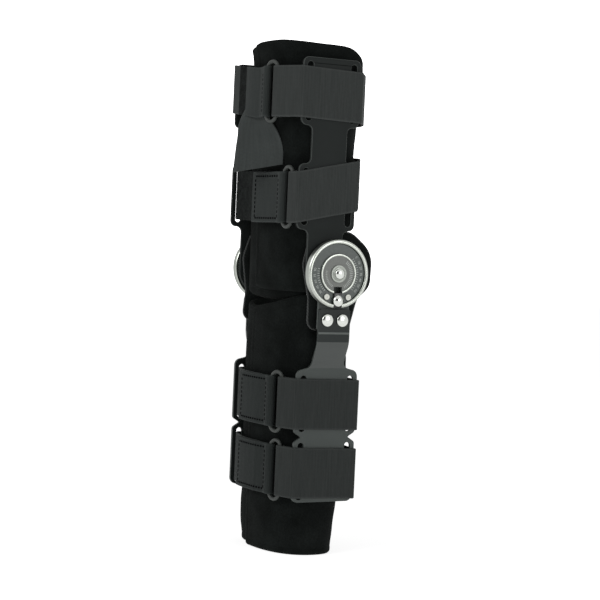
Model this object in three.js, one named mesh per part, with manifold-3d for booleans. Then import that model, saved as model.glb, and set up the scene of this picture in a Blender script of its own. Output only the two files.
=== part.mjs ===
// Post-op knee brace with a range-of-motion hinge on each side of the knee.
// +X is the outer side of the leg, -Y its front and +Z up. Millimetres.
// The brace stands on the bottom rim of its calf sleeve, with the origin at the middle of its footprint.

import * as THREE from "three";
import { mergeVertices } from "three/addons/utils/BufferGeometryUtils.js";
import Module from "manifold-3d";

const wasm = await Module();
wasm.setup();

// Driving dimensions
const GAP = 0.3;
const FRONT_SHIFT = 16.7; // moves the knee axis behind the middle of the footprint
const KNEE_Z = 288;
const WEB = { width: 50, wall: 2 };
const FOAM_WALL = 6;
const FORM_POWER = 2.4; // superellipse power of the sleeves' section
const BAR_WALL = 3;

// Sleeves: half width and depth of the outer form to the front and the rear, by height.
// The rear sags between the thigh's straps and under the lowest strap.
const THIGH_FORM = [
  { z: 255, halfWidth: 70.4, front: 42, rear: 42 },
  { z: 330, halfWidth: 70.6, front: 43, rear: 43 },
  { z: 375, halfWidth: 70.7, front: 44.9, rear: 44.9 },
  { z: 417, halfWidth: 70.8, front: 46.5, rear: 41 },
  { z: 470, halfWidth: 71, front: 48, rear: 48 },
  { z: 525, halfWidth: 70.4, front: 49, rear: 46.5 },
];
const CALF_FORM = [
  { z: 0, halfWidth: 62, front: 40, rear: 38.5 },
  { z: 63, halfWidth: 65, front: 41.7, rear: 41.3 },
  { z: 113, halfWidth: 66.5, front: 43, rear: 43 },
  { z: 160, halfWidth: 66.6, front: 44, rear: 44 },
  { z: 262, halfWidth: 66.6, front: 43.5, rear: 43.5 },
];

// Sleeve edges by angle round the leg, from the hidden end under the flap (front, outer half)
// over the inner side, the back and the outer side to the flap's free end (front, inner half)
const THIGH_EDGES = [
  { angle: -44, low: 265, high: 518 },
  { angle: -69, low: 259, high: 520 },
  { angle: -90, low: 258, high: 520 },
  { angle: -125, low: 260, high: 519.5 },
  { angle: -160, low: 268, high: 516 },
  { angle: -178, low: 272, high: 512 },
  { angle: -191, low: 300, high: 509 },
  { angle: -206, low: 334, high: 506 },
  { angle: -226, low: 351, high: 503 },
  { angle: -250, low: 366, high: 501 },
  { angle: -270, low: 368, high: 500 },
  { angle: -290, low: 366, high: 500 },
  { angle: -314, low: 351, high: 502 },
  { angle: -334, low: 334, high: 506 },
  { angle: -349, low: 300, high: 514 },
  { angle: -362, low: 272, high: 517 },
  { angle: -380, low: 268, high: 518 },
  { angle: -425, low: 268, high: 522 },
  { angle: -452, low: 268, high: 521.5 },
  { angle: -459.5, low: 269.5, high: 520 },
  { angle: -462.6, low: 276, high: 514 },
];
const CALF_EDGES = [
  { angle: -69, low: 0, high: 250 },
  { angle: -90, low: 0, high: 250 },
  { angle: -125, low: 0, high: 250 },
  { angle: -160, low: 0, high: 255 },
  { angle: -180, low: 0, high: 257 },
  { angle: -196, low: 0, high: 243 },
  { angle: -210, low: 0, high: 218 },
  { angle: -226, low: 0, high: 202 },
  { angle: -250, low: 0, high: 190 },
  { angle: -270, low: 0, high: 186 },
  { angle: -290, low: 0, high: 190 },
  { angle: -314, low: 0, high: 202 },
  { angle: -330, low: 0, high: 218 },
  { angle: -344, low: 0, high: 243 },
  { angle: -360, low: 0, high: 263 },
  { angle: -378, low: 0, high: 266 },
  { angle: -400, low: 0, high: 264 },
  { angle: -430, low: 0, high: 256.5 },
  { angle: -455, low: 0, high: 251 },
  { angle: -459.5, low: 0, high: 249 },
  { angle: -462.6, low: 0, high: 244 },
];
const LAP = { gap: 0.6, under: -108, level: -150 }; // the hidden end stays under until here, then rises
const SLEEVE_COLUMNS = 36;
const THIGH_LEVELS = [334, 351, 366]; // rows that follow the hollow for the condyle pads
const CALF_LEVELS = [206, 222, 236];
const LEVEL_STEP = 8;
const PAD_HOLLOW = { halfWidth: 61.3, radius: 63, slope: 0.75 };

// Side bars: inner face, front and rear edges of the wings, bar edges, and wings by height
const UPPER_BAR = {
  inner: 71.4,
  front: -45,
  rear: 21,
  barFront: -32,
  barRear: 8,
  hubRear: 26,
  hubLow: 262,
  hubHigh: 304,
  hubRadius: 22,
  hubShoulder: 12,
  hubBlend: 5,
  wingRadius: 6.3,
  wingBlend: 6,
  wings: [
    { low: 331, high: 397 },
    { low: 435, high: 503 },
  ],
};
const LOWER_BAR = {
  inner: 67,
  front: -35,
  rear: 35,
  halfBar: 18,
  halfNeck: 27,
  bendLow: 193,
  bendHigh: 228,
  top: 252,
  topInner: 77,
  wingRadius: 7,
  wingBlend: 8,
  facingRadius: 7,
  notchSlope: 0.4,
  bendLap: 20,
  wings: [
    { low: 56, high: 121 },
    { low: 123, high: 189 },
  ],
};
const SLOT = { rim: 4.5, width: 7, end: 4.5, endRadius: 3.43 };

// Hinge: the stack from the leg outwards, on the knee axis
const PAD = { inner: 63, outer: 71.1, soft: 1.5 };
const KNEE_CUSHION = { inner: 61.7, front: 14, rear: 40, low: -34, high: 12, radius: 8 };
const HINGE_PLATE = { inner: 74.7, outer: 76.7, radius: 31, low: 232 };
const HOUSING = { inner: 77, floor: 78.5, outer: 85, radius: 34.5, bore: 30.5, edge: 0.8 };
const FACE = { inner: 78.8, outer: 82.5, radius: 30.2 };
const STOP_DISC = { inner: 82.8, outer: 83.8, ring: 84.7, radius: 20, ringWall: 1.3 };
const NOTCH = { halfWidth: 4.75, start: 13 };
const PIVOT = { radius: 4, washer: 8.8, washerWall: 0.8, dome: 5.4, inner: 71.6, seat: 84.1, tip: 89 };
const DOME = [
  { radius: 1, height: 0.2 },
  { radius: 0.93, height: 0.5 },
  { radius: 0.6, height: 0.85 },
]; // section of a rivet's head, in shares of its radius and height
const SLIDER = { halfWidth: 4.45, start: 19, end: 33.5, inner: 78.9, outer: 85 };
const BUTTON = { radius: 5.75, edge: 0.8, tip: 2.2, height: 3.8, at: 27 };
const STOP_PIN = { radius: 3.1, height: 1.5, at: 26.4, angle: 28 };
const BAR_RIVET = { radius: 6.5, shank: 2.6, height: 3, y: 8.6, z: 241 };
const TURNS = { disc: 24, housing: 26, pivot: 14, button: 16, pin: 12, barRivet: 10, hole: 12 };

// Condyle pad outline, y and z from the knee axis, with corner radii
const PAD_OUTLINE = [
  { y: -24, z: -57, radius: 9 },
  { y: 28, z: -57, radius: 12 },
  { y: 47, z: -24, radius: 24 },
  { y: 47, z: 24, radius: 26 },
  { y: 22, z: 42, radius: 22 },
  { y: -24, z: 42, radius: 20 },
  { y: -32, z: 8, radius: 20 },
  { y: -24, z: -26, radius: 12 },
];

// Straps: level at the ring, rise per mm to the back and, past the middle, lean to the inner side, ring's
// middle, where the tab bends and ends, room under the tab, and whether the inner end goes over
// the inner bar's rim or in through its slot
const STRAPS = [
  {
    z: 468.5, rise: -0.035, lean: 0.105, ringX: 33.5, ringY: -58,
    bendX: 8, tabX: -27, under: 2.7, overRim: true,
  },
  {
    z: 363, rise: 0.2, lean: 0, ringX: 56, ringY: -47,
    bendX: 14, tabX: -11, under: 0, overRim: false,
  },
  {
    z: 156, rise: 0, lean: 0, ringX: 44.5, ringY: -43.5,
    bendX: 14, tabX: -27, under: 0, overRim: false,
  },
  {
    z: 86.5, rise: 0, lean: 0, ringX: 44, ringY: -41.5,
    bendX: 14, tabX: -30, under: 0, overRim: false,
  },
];
const RING = { barX: 6.5, wire: 1.9, height: 64 };
const RING_TURNS = { loop: 14, wire: 6 };
const FOLD = 3.4; // radius of the webbing's middle round a ring's bar
const FOLD_BLEND = 3;
const UNDER_END = { reach: 20, rim: 5 }; // length of the end under a strap, and its distance from the rim
const SLOT_PASS = { before: 2.4, after: 3.8, drop: 3, radius: 8 }; // a strap's way in through the inner slot
const FRONT_END = { inner: -34, ring: 16 }; // where a strap meets the front, and its end before its ring
const BACK_Y = 50; // about where the straps cross the back
const LAYER = WEB.wall + 0.4; // from the middle of one layer of webbing to the next

// Free strap end: its middle line by height, turned about the vertical
const TAIL = [
  { z: 470, x: -9, y: -52.3, turn: 0 },
  { z: 442, x: -10, y: -52.3, turn: 0 },
  { z: 434, x: -2.5, y: -55, turn: 13 },
  { z: 420, x: 10.5, y: -60, turn: 30 },
  { z: 407, x: 16.5, y: -61.5, turn: 43 },
  { z: 393, x: 21.5, y: -64, turn: 52 },
];
const TAIL_SLANT = 0.18; // drop of the cut end across the webbing

// Materials
const FOAM = { color: 0x171918, roughness: 0.95, metalness: 0 };
const WEBBING = { color: 0x363938, roughness: 0.85, metalness: 0 };
const PAINTED_METAL = { color: 0x343837, roughness: 0.45, metalness: 0.4 };
const BRIGHT_METAL = { color: 0xd0d4cc, roughness: 0.2, metalness: 1 };
const GREY_PLASTIC = { color: 0x5b645f, roughness: 0.4, metalness: 0.1 };
const BLACK_PLASTIC = { color: 0x151616, roughness: 0.5, metalness: 0 };
const WIRE = { color: 0x575956, roughness: 0.4, metalness: 0.6 };

// Helpers

function piece(name, geometry, finish) {
  const mesh = new THREE.Mesh(geometry, new THREE.MeshStandardMaterial(finish));
  mesh.name = name;
  return mesh;
}

function radians(degrees) {
  return THREE.MathUtils.degToRad(degrees);
}

// Value of one column of a table between its rows
function lookUp(table, key, column, at, Interpolant) {
  const rising = table[0][key] < table[table.length - 1][key];
  const rows = rising ? table : [...table].reverse();
  const keys = rows.map((row) => row[key]);
  const values = rows.map((row) => row[column]);
  return new Interpolant(keys, values, 1).evaluate(at)[0];
}

function toSolid(geometry) {
  const bare = geometry.clone();
  bare.deleteAttribute("normal");
  bare.deleteAttribute("uv");
  const merged = mergeVertices(bare, 1e-4);
  const vertProperties = merged.attributes.position.array;
  const triVerts = new Uint32Array(merged.index.array);
  return new wasm.Manifold(new wasm.Mesh({ numProp: 3, vertProperties, triVerts }));
}

function toGeometry(solid) {
  const mesh = solid.getMesh();
  const geometry = new THREE.BufferGeometry();
  geometry.setAttribute("position", new THREE.BufferAttribute(mesh.vertProperties, 3));
  geometry.setIndex(new THREE.BufferAttribute(mesh.triVerts, 1));
  return geometry;
}

function cut(geometry, ...tools) {
  const left = tools.reduce((solid, tool) => solid.subtract(toSolid(tool)), toSolid(geometry));
  return toGeometry(left);
}

function join(first, second) {
  return toGeometry(toSolid(first).add(toSolid(second)));
}

// Points of a line whose corners are rounded by their own radii
function roundedLine(corners, steps = 3) {
  const points = [];
  corners.forEach((corner, i) => {
    const at = new THREE.Vector2(corner.x, corner.y);
    if (!corner.radius || i === 0 || i === corners.length - 1) {
      points.push(at);
      return;
    }
    const back = new THREE.Vector2(corners[i - 1].x, corners[i - 1].y).sub(at).normalize();
    const on = new THREE.Vector2(corners[i + 1].x, corners[i + 1].y).sub(at).normalize();
    const half = Math.acos(THREE.MathUtils.clamp(back.dot(on), -1, 1)) / 2;
    const centre = back.clone().add(on).normalize();
    centre.multiplyScalar(corner.radius / Math.sin(half)).add(at);
    const from = back.clone().multiplyScalar(corner.radius / Math.tan(half)).add(at).sub(centre);
    const to = on.clone().multiplyScalar(corner.radius / Math.tan(half)).add(at).sub(centre);
    const turn = Math.atan2(from.cross(to), from.dot(to));
    for (let step = 0; step <= steps; step += 1) {
      const arm = from.clone().rotateAround(new THREE.Vector2(), (turn * step) / steps);
      points.push(arm.add(centre));
    }
  });
  return points.filter((point, i) => i === 0 || point.distanceTo(points[i - 1]) > 0.1);
}

// Closed outline with rounded corners, in y and z
function roundedShape(corners, steps = 3) {
  const xy = corners.map((corner) => ({ x: corner.y, y: corner.z, radius: corner.radius }));
  const last = xy[xy.length - 1];
  const around = roundedLine([last, ...xy, xy[0]], steps);
  return new THREE.Shape(around.slice(1, -1));
}

// The same line moved sideways, to its left
function offsetLine(points, distance) {
  return points.map((point, i) => {
    const before = points[Math.max(i - 1, 0)];
    const after = points[Math.min(i + 1, points.length - 1)];
    const intoPoint = point.clone().sub(before);
    const outOfPoint = after.clone().sub(point);
    const inDirection = (i === 0 ? outOfPoint : intoPoint).normalize();
    const outDirection = (i === points.length - 1 ? inDirection.clone() : outOfPoint).normalize();
    const middle = inDirection.clone().add(outDirection).normalize();
    const stretch = 1 / Math.max(middle.dot(inDirection), 0.6);
    return new THREE.Vector2(-middle.y, middle.x).multiplyScalar(distance * stretch).add(point);
  });
}

// Upright band of webbing along a line seen from above, which follows its strap's rise and lean
function band(line, strap) {
  const left = offsetLine(line, WEB.wall / 2);
  const right = offsetLine(line, -WEB.wall / 2);
  const shape = new THREE.Shape([...left, ...right.reverse()]);
  const geometry = new THREE.ExtrudeGeometry(shape, { depth: WEB.width, bevelEnabled: false });
  const points = geometry.attributes.position;
  for (let i = 0; i < points.count; i += 1) {
    const climb = strap.rise * (points.getY(i) - strap.ringY) + strap.lean * Math.max(-points.getX(i), 0);
    points.setZ(i, points.getZ(i) + strap.z - WEB.width / 2 + climb);
  }
  return geometry;
}

// Plate with its outline in y and z, between two distances from the leg's middle
function plate(shape, inner, outer, soft = 0) {
  const geometry = new THREE.ExtrudeGeometry(shape, {
    depth: outer - inner - 2 * soft,
    bevelEnabled: soft > 0,
    bevelThickness: soft,
    bevelSize: soft,
    bevelOffset: -soft,
    bevelSegments: 1,
    curveSegments: 4,
  });
  const lay = new THREE.Matrix4();
  lay.makeBasis(new THREE.Vector3(0, 1, 0), new THREE.Vector3(0, 0, 1), new THREE.Vector3(1, 0, 0));
  return geometry.applyMatrix4(lay).translate(inner + soft, 0, 0);
}

// Turned piece on an axis along X; its profile holds radius and distance from the leg's middle
function turned(profile, y, z, turns) {
  const points = profile.map((row) => new THREE.Vector2(row[0], row[1]));
  const geometry = new THREE.LatheGeometry(points, turns);
  return geometry.rotateZ(-Math.PI / 2).translate(0, y, z);
}

function circle(y, z, radius, corners) {
  const path = new THREE.Path();
  const points = [];
  for (let i = 0; i < corners; i += 1) {
    const angle = (2 * Math.PI * i) / corners;
    points.push(new THREE.Vector2(y + radius * Math.cos(angle), z + radius * Math.sin(angle)));
  }
  return path.setFromPoints(points);
}

// Closed wall between two equal grids of points
function closedSheet(outer, inner) {
  const columns = outer.length;
  const last = columns - 1;
  const rows = outer[0].length;
  const points = [...outer.flat(), ...inner.flat()];
  const index = [];
  const side = columns * rows;
  const at = (i, j, back) => i * rows + j + (back ? side : 0);
  const quad = (a, b, c, d) => index.push(a, b, c, a, c, d);
  for (let i = 0; i + 1 < columns; i += 1) {
    for (let j = 0; j + 1 < rows; j += 1) {
      quad(at(i, j), at(i, j + 1), at(i + 1, j + 1), at(i + 1, j));
      quad(at(i, j, true), at(i + 1, j, true), at(i + 1, j + 1, true), at(i, j + 1, true));
    }
    quad(at(i, 0), at(i + 1, 0), at(i + 1, 0, true), at(i, 0, true));
    quad(at(i + 1, rows - 1), at(i, rows - 1), at(i, rows - 1, true), at(i + 1, rows - 1, true));
  }
  for (let j = 0; j + 1 < rows; j += 1) {
    quad(at(0, j + 1), at(0, j), at(0, j, true), at(0, j + 1, true));
    quad(at(last, j), at(last, j + 1), at(last, j + 1, true), at(last, j, true));
  }
  return new THREE.BufferGeometry().setFromPoints(points).setIndex(index);
}

// Sleeves

function signedPower(value, power) {
  return Math.sign(value) * Math.abs(value) ** power;
}

// Point of a sleeve's section, so deep under its outer form
function formPoint(form, angle, z, depth) {
  const halfWidth = lookUp(form, "z", "halfWidth", z, THREE.LinearInterpolant) - depth;
  const side = Math.sin(radians(angle)) > 0 ? "rear" : "front";
  const halfDepth = lookUp(form, "z", side, z, THREE.LinearInterpolant) - depth;
  const x = halfWidth * signedPower(Math.cos(radians(angle)), 2 / FORM_POWER);
  const y = halfDepth * signedPower(Math.sin(radians(angle)), 2 / FORM_POWER);
  const past = Math.max(Math.hypot(y, z - KNEE_Z) - PAD_HOLLOW.radius, 0);
  const limit = PAD_HOLLOW.halfWidth + PAD_HOLLOW.slope * past - depth;
  return new THREE.Vector3(Math.sign(x) * Math.min(Math.abs(x), limit), y, z);
}

// Distance of a sleeve's front from the knee axis at one height
function frontDepth(form, x, z) {
  const halfWidth = lookUp(form, "z", "halfWidth", z, THREE.LinearInterpolant);
  const halfDepth = lookUp(form, "z", "front", z, THREE.LinearInterpolant);
  const share = Math.min(Math.abs(x) / halfWidth, 1);
  return halfDepth * (1 - share ** FORM_POWER) ** (1 / FORM_POWER);
}

function lapDepth(angle) {
  const share = THREE.MathUtils.smoothstep(-angle, -LAP.under, -LAP.level);
  return (FOAM_WALL + LAP.gap) * (1 - share);
}

function sleeve(form, edges, rowHeights) {
  const flap = edges.slice(-3).map((row) => row.angle);
  const first = edges[0].angle;
  const outer = [];
  const inner = [];
  for (let i = 0; i < SLEEVE_COLUMNS + flap.length; i += 1) {
    const even = first + ((flap[0] - first) * i) / SLEEVE_COLUMNS;
    const angle = i < SLEEVE_COLUMNS ? even : flap[i - SLEEVE_COLUMNS];
    const low = lookUp(edges, "angle", "low", angle, THREE.LinearInterpolant);
    const high = lookUp(edges, "angle", "high", angle, THREE.LinearInterpolant);
    const heights = rowHeights(low, high);
    const depth = lapDepth(angle);
    outer.push(heights.map((z) => formPoint(form, angle, z, depth)));
    inner.push(heights.map((z) => formPoint(form, angle, z, depth + FOAM_WALL)));
  }
  return closedSheet(outer, inner);
}

function thighRows(low, high) {
  const [a, b, c] = THIGH_LEVELS.map((level, i) => Math.max(level, low + LEVEL_STEP * (i + 1)));
  const upper = [1 / 3, 2 / 3, 1].map((share) => THREE.MathUtils.lerp(c, high, share));
  return [low, (low + a) / 2, a, b, c, ...upper];
}

function calfRows(low, high) {
  const [a, b, c] = CALF_LEVELS.map((level, i) => Math.min(level, high - LEVEL_STEP * (3 - i)));
  const lower = [0, 1 / 3, 2 / 3].map((share) => THREE.MathUtils.lerp(low, a, share));
  return [...lower, a, b, c, high];
}

// Side bars

function slotPaths(bar) {
  const middles = [bar.front + SLOT.rim + SLOT.width / 2, bar.rear - SLOT.rim - SLOT.width / 2];
  const half = SLOT.width / 2;
  const paths = [];
  for (const wing of bar.wings) {
    for (const y of middles) {
      const corners = [
        { y: y - half, z: wing.low + SLOT.end, radius: SLOT.endRadius },
        { y: y + half, z: wing.low + SLOT.end, radius: SLOT.endRadius },
        { y: y + half, z: wing.high - SLOT.end, radius: SLOT.endRadius },
        { y: y - half, z: wing.high - SLOT.end, radius: SLOT.endRadius },
      ];
      paths.push(new THREE.Path(roundedShape(corners, 2).getPoints()));
    }
  }
  return paths;
}

function upperBar() {
  const { front, rear, barFront, barRear, hubRear, hubLow, hubHigh, wings } = UPPER_BAR;
  const { hubRadius, hubShoulder, hubBlend, wingRadius, wingBlend } = UPPER_BAR;
  const wingSide = (bar, edge) =>
    wings.flatMap((wing) => [
      { y: bar, z: wing.low, radius: wingBlend },
      { y: edge, z: wing.low, radius: wingRadius },
      { y: edge, z: wing.high, radius: wingRadius },
      { y: bar, z: wing.high, radius: wingBlend },
    ]);
  const corners = [
    { y: barFront, z: hubLow, radius: hubRadius },
    ...wingSide(barFront, front).slice(0, -1),
    ...wingSide(barRear, rear).slice(0, -1).reverse(),
    { y: barRear, z: hubHigh, radius: hubBlend },
    { y: hubRear, z: hubHigh, radius: hubShoulder },
    { y: hubRear, z: hubLow, radius: hubRadius },
  ];
  const shape = roundedShape(corners);
  shape.holes = [...slotPaths(UPPER_BAR), circle(0, KNEE_Z, PIVOT.radius + GAP, TURNS.hole)];
  return plate(shape, UPPER_BAR.inner, UPPER_BAR.inner + BAR_WALL);
}

function lowerBar() {
  const { inner, rear, halfBar, halfNeck, bendLow, bendHigh, top, topInner, wings } = LOWER_BAR;
  const { wingRadius, wingBlend, facingRadius, notchSlope, bendLap } = LOWER_BAR;
  const [foot, head] = wings;
  const half = [
    { y: rear, z: foot.low, radius: wingRadius },
    { y: rear, z: foot.high, radius: facingRadius },
    { y: halfNeck, z: foot.high + notchSlope, radius: 0 },
    { y: halfNeck, z: head.low - notchSlope, radius: 0 },
    { y: rear, z: head.low, radius: facingRadius },
    { y: rear, z: head.high, radius: wingRadius },
    { y: halfBar, z: bendLow, radius: wingBlend },
    { y: halfBar, z: bendLow + bendLap / 4, radius: 0 },
  ];
  const mirrored = half.map((corner) => ({ ...corner, y: -corner.y })).reverse();
  const shape = roundedShape([...half, ...mirrored]);
  shape.holes = slotPaths(LOWER_BAR);
  const wingPlate = plate(shape, inner, inner + BAR_WALL);

  const bend = new THREE.Shape([
    new THREE.Vector2(inner, bendLow - bendLap),
    new THREE.Vector2(inner + BAR_WALL, bendLow - bendLap),
    new THREE.Vector2(inner + BAR_WALL, bendLow),
    new THREE.Vector2(topInner + BAR_WALL, bendHigh),
    new THREE.Vector2(topInner + BAR_WALL, top),
    new THREE.Vector2(topInner, top),
    new THREE.Vector2(topInner, bendHigh),
    new THREE.Vector2(inner, bendLow),
  ]);
  const neck = new THREE.ExtrudeGeometry(bend, { depth: 2 * halfBar, bevelEnabled: false });
  neck.rotateX(Math.PI / 2).translate(0, halfBar, 0);
  const clear = new THREE.BoxGeometry(BAR_WALL * 2, 4 * halfBar, bendLap);
  clear.translate(inner + BAR_WALL / 2, 0, bendLow + bendLap / 2);
  const holes = [-1, 1].map((side) => rivetHole(side * BAR_RIVET.y));
  return cut(join(cut(wingPlate, clear), neck), ...holes);
}

function rivetHole(y) {
  const radius = BAR_RIVET.shank + GAP;
  const hole = new THREE.CylinderGeometry(radius, radius, 4 * BAR_WALL, TURNS.hole);
  return hole.rotateZ(Math.PI / 2).translate(LOWER_BAR.topInner + BAR_WALL / 2, y, BAR_RIVET.z);
}

// Rows of a domed head's profile, from its seat to its tip
function domeRows(radius, seat, tip) {
  const rows = DOME.map((row) => [radius * row.radius, seat + (tip - seat) * row.height]);
  return [...rows, [0, tip]];
}

function barRivet(y) {
  const seat = LOWER_BAR.topInner + BAR_WALL + GAP;
  const profile = [
    [0, HINGE_PLATE.inner],
    [BAR_RIVET.shank, HINGE_PLATE.inner],
    [BAR_RIVET.shank, seat],
    [BAR_RIVET.radius, seat],
    ...domeRows(BAR_RIVET.radius, seat, seat + BAR_RIVET.height),
  ];
  return turned(profile, y, BAR_RIVET.z, TURNS.barRivet);
}

// Hinge

// Pad with a raised cushion that bears on the knee between the two sleeves
function condylePad() {
  const { inner, front, rear, low, high, radius } = KNEE_CUSHION;
  const raised = (corner) => ({ ...corner, z: corner.z + KNEE_Z });
  const cushion = [
    { y: front, z: low, radius },
    { y: rear, z: low, radius },
    { y: rear, z: high, radius },
    { y: front, z: high, radius },
  ];
  const base = plate(roundedShape(PAD_OUTLINE.map(raised)), PAD.inner, PAD.outer, PAD.soft);
  return join(base, plate(roundedShape(cushion.map(raised)), inner, PAD.outer - PAD.soft));
}

function hingePlate() {
  const { inner, outer, radius, low } = HINGE_PLATE;
  const half = LOWER_BAR.halfBar;
  const open = Math.asin(half / radius);
  const shape = new THREE.Shape();
  shape.moveTo(-half, low);
  shape.lineTo(half, low);
  shape.absarc(0, KNEE_Z, radius, open - Math.PI / 2, 1.5 * Math.PI - open, false);
  shape.closePath();
  shape.holes = [
    circle(0, KNEE_Z, PIVOT.radius + GAP, TURNS.hole),
    circle(-BAR_RIVET.y, BAR_RIVET.z, BAR_RIVET.shank + GAP, TURNS.hole),
    circle(BAR_RIVET.y, BAR_RIVET.z, BAR_RIVET.shank + GAP, TURNS.hole),
  ];
  return plate(shape, inner, outer);
}

function notchTool() {
  const reach = HOUSING.radius + HOUSING.edge - NOTCH.start;
  const depth = 2 * (HOUSING.outer - HOUSING.inner + GAP);
  const tool = new THREE.BoxGeometry(depth, 2 * NOTCH.halfWidth, reach);
  return tool.translate(HOUSING.outer, 0, KNEE_Z - NOTCH.start - reach / 2);
}

function dialHousing() {
  const { inner, floor, outer, radius, bore, edge } = HOUSING;
  const hole = PIVOT.radius + 2 * GAP;
  const profile = [
    [hole, inner],
    [radius - edge, inner],
    [radius, inner + edge],
    [radius, outer - edge],
    [radius - edge, outer],
    [bore + edge / 2, outer],
    [bore, outer - edge / 2],
    [bore, floor],
    [hole, floor],
    [hole, inner],
  ];
  return cut(turned(profile, 0, KNEE_Z, TURNS.housing), notchTool());
}

function dialFace() {
  const hole = PIVOT.radius + 2 * GAP;
  const profile = [
    [hole, FACE.inner],
    [FACE.radius, FACE.inner],
    [FACE.radius, FACE.outer],
    [hole, FACE.outer],
    [hole, FACE.inner],
  ];
  return cut(turned(profile, 0, KNEE_Z, TURNS.disc), notchTool());
}

function stopDisc() {
  const { inner, outer, ring, radius, ringWall } = STOP_DISC;
  const hole = PIVOT.radius + 2 * GAP;
  const profile = [
    [hole, inner],
    [radius, inner],
    [radius, ring],
    [radius - ringWall, ring],
    [radius - ringWall, outer],
    [hole, outer],
    [hole, inner],
  ];
  return cut(turned(profile, 0, KNEE_Z, TURNS.disc), notchTool());
}

function pivotRivet() {
  const { radius, washer, washerWall, dome, inner, seat, tip } = PIVOT;
  const profile = [
    [0, inner],
    [radius, inner],
    [radius, seat],
    [washer, seat],
    [washer, seat + washerWall],
    ...domeRows(dome, seat + washerWall, tip),
  ];
  return turned(profile, 0, KNEE_Z, TURNS.pivot);
}

function lockSlider() {
  const { halfWidth, start, end, inner, outer } = SLIDER;
  const box = new THREE.BoxGeometry(outer - inner, 2 * halfWidth, end - start);
  return box.translate((inner + outer) / 2, 0, KNEE_Z - (start + end) / 2);
}

function lockButton() {
  const seat = SLIDER.outer + GAP;
  const profile = [
    [0, seat],
    [BUTTON.radius, seat],
    [BUTTON.radius, seat + BUTTON.edge],
    [BUTTON.tip, seat + BUTTON.height],
    [0, seat + BUTTON.height],
  ];
  return turned(profile, 0, KNEE_Z - BUTTON.at, TURNS.button);
}

function stopPin(side) {
  const y = STOP_PIN.at * Math.sin(radians(STOP_PIN.angle)) * side;
  const z = KNEE_Z - STOP_PIN.at * Math.cos(radians(STOP_PIN.angle));
  const seat = FACE.outer + GAP;
  const profile = [
    [0, seat],
    [STOP_PIN.radius, seat],
    [STOP_PIN.radius, seat + STOP_PIN.height],
    [0, seat + STOP_PIN.height],
  ];
  return turned(profile, y, z, TURNS.pin);
}

// Bars and hinge of one side of the knee, made for the outer side
function hardware(side) {
  const group = new THREE.Group();
  group.add(
    piece(`upper_bar_${side}`, upperBar(), PAINTED_METAL),
    piece(`lower_bar_${side}`, lowerBar(), PAINTED_METAL),
    piece(`condyle_pad_${side}`, condylePad(), FOAM),
    piece(`hinge_plate_${side}`, hingePlate(), PAINTED_METAL),
    piece(`dial_housing_${side}`, dialHousing(), BRIGHT_METAL),
    piece(`dial_face_${side}`, dialFace(), GREY_PLASTIC),
    piece(`stop_disc_${side}`, stopDisc(), GREY_PLASTIC),
    piece(`pivot_rivet_${side}`, pivotRivet(), BRIGHT_METAL),
    piece(`lock_slider_${side}`, lockSlider(), BLACK_PLASTIC),
    piece(`lock_button_${side}`, lockButton(), BRIGHT_METAL),
    piece(`stop_pin_front_${side}`, stopPin(-1), BRIGHT_METAL),
    piece(`stop_pin_rear_${side}`, stopPin(1), BRIGHT_METAL),
    piece(`bar_rivet_front_${side}`, barRivet(-BAR_RIVET.y), BRIGHT_METAL),
    piece(`bar_rivet_rear_${side}`, barRivet(BAR_RIVET.y), BRIGHT_METAL),
  );
  return group;
}

// Straps

// Height of a strap's upper edge
function strapTop(strap, y) {
  return strap.z + strap.rise * (y - strap.ringY) + WEB.width / 2;
}

// Where a strap's ring lies and which way its webbing leaves it
function ringFrame(strap, bar) {
  const skin = GAP + WEB.wall / 2;
  const rim = new THREE.Vector2(bar.inner + BAR_WALL + skin, bar.front - skin);
  const middle = new THREE.Vector2(strap.ringX, strap.ringY);
  const straight = rim.clone().sub(middle).normalize();
  const outward = new THREE.Vector2(straight.y, -straight.x);
  const along = rim.clone().sub(middle.clone().addScaledVector(outward, FOLD)).normalize();
  const out = new THREE.Vector2(along.y, -along.x);
  const at = (length, height, radius = 0) => {
    const point = middle.clone().addScaledVector(along, length).addScaledVector(out, height);
    return { x: point.x, y: point.y, radius };
  };
  return { middle, along, rim, at, reach: rim.distanceTo(middle) };
}

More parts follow.
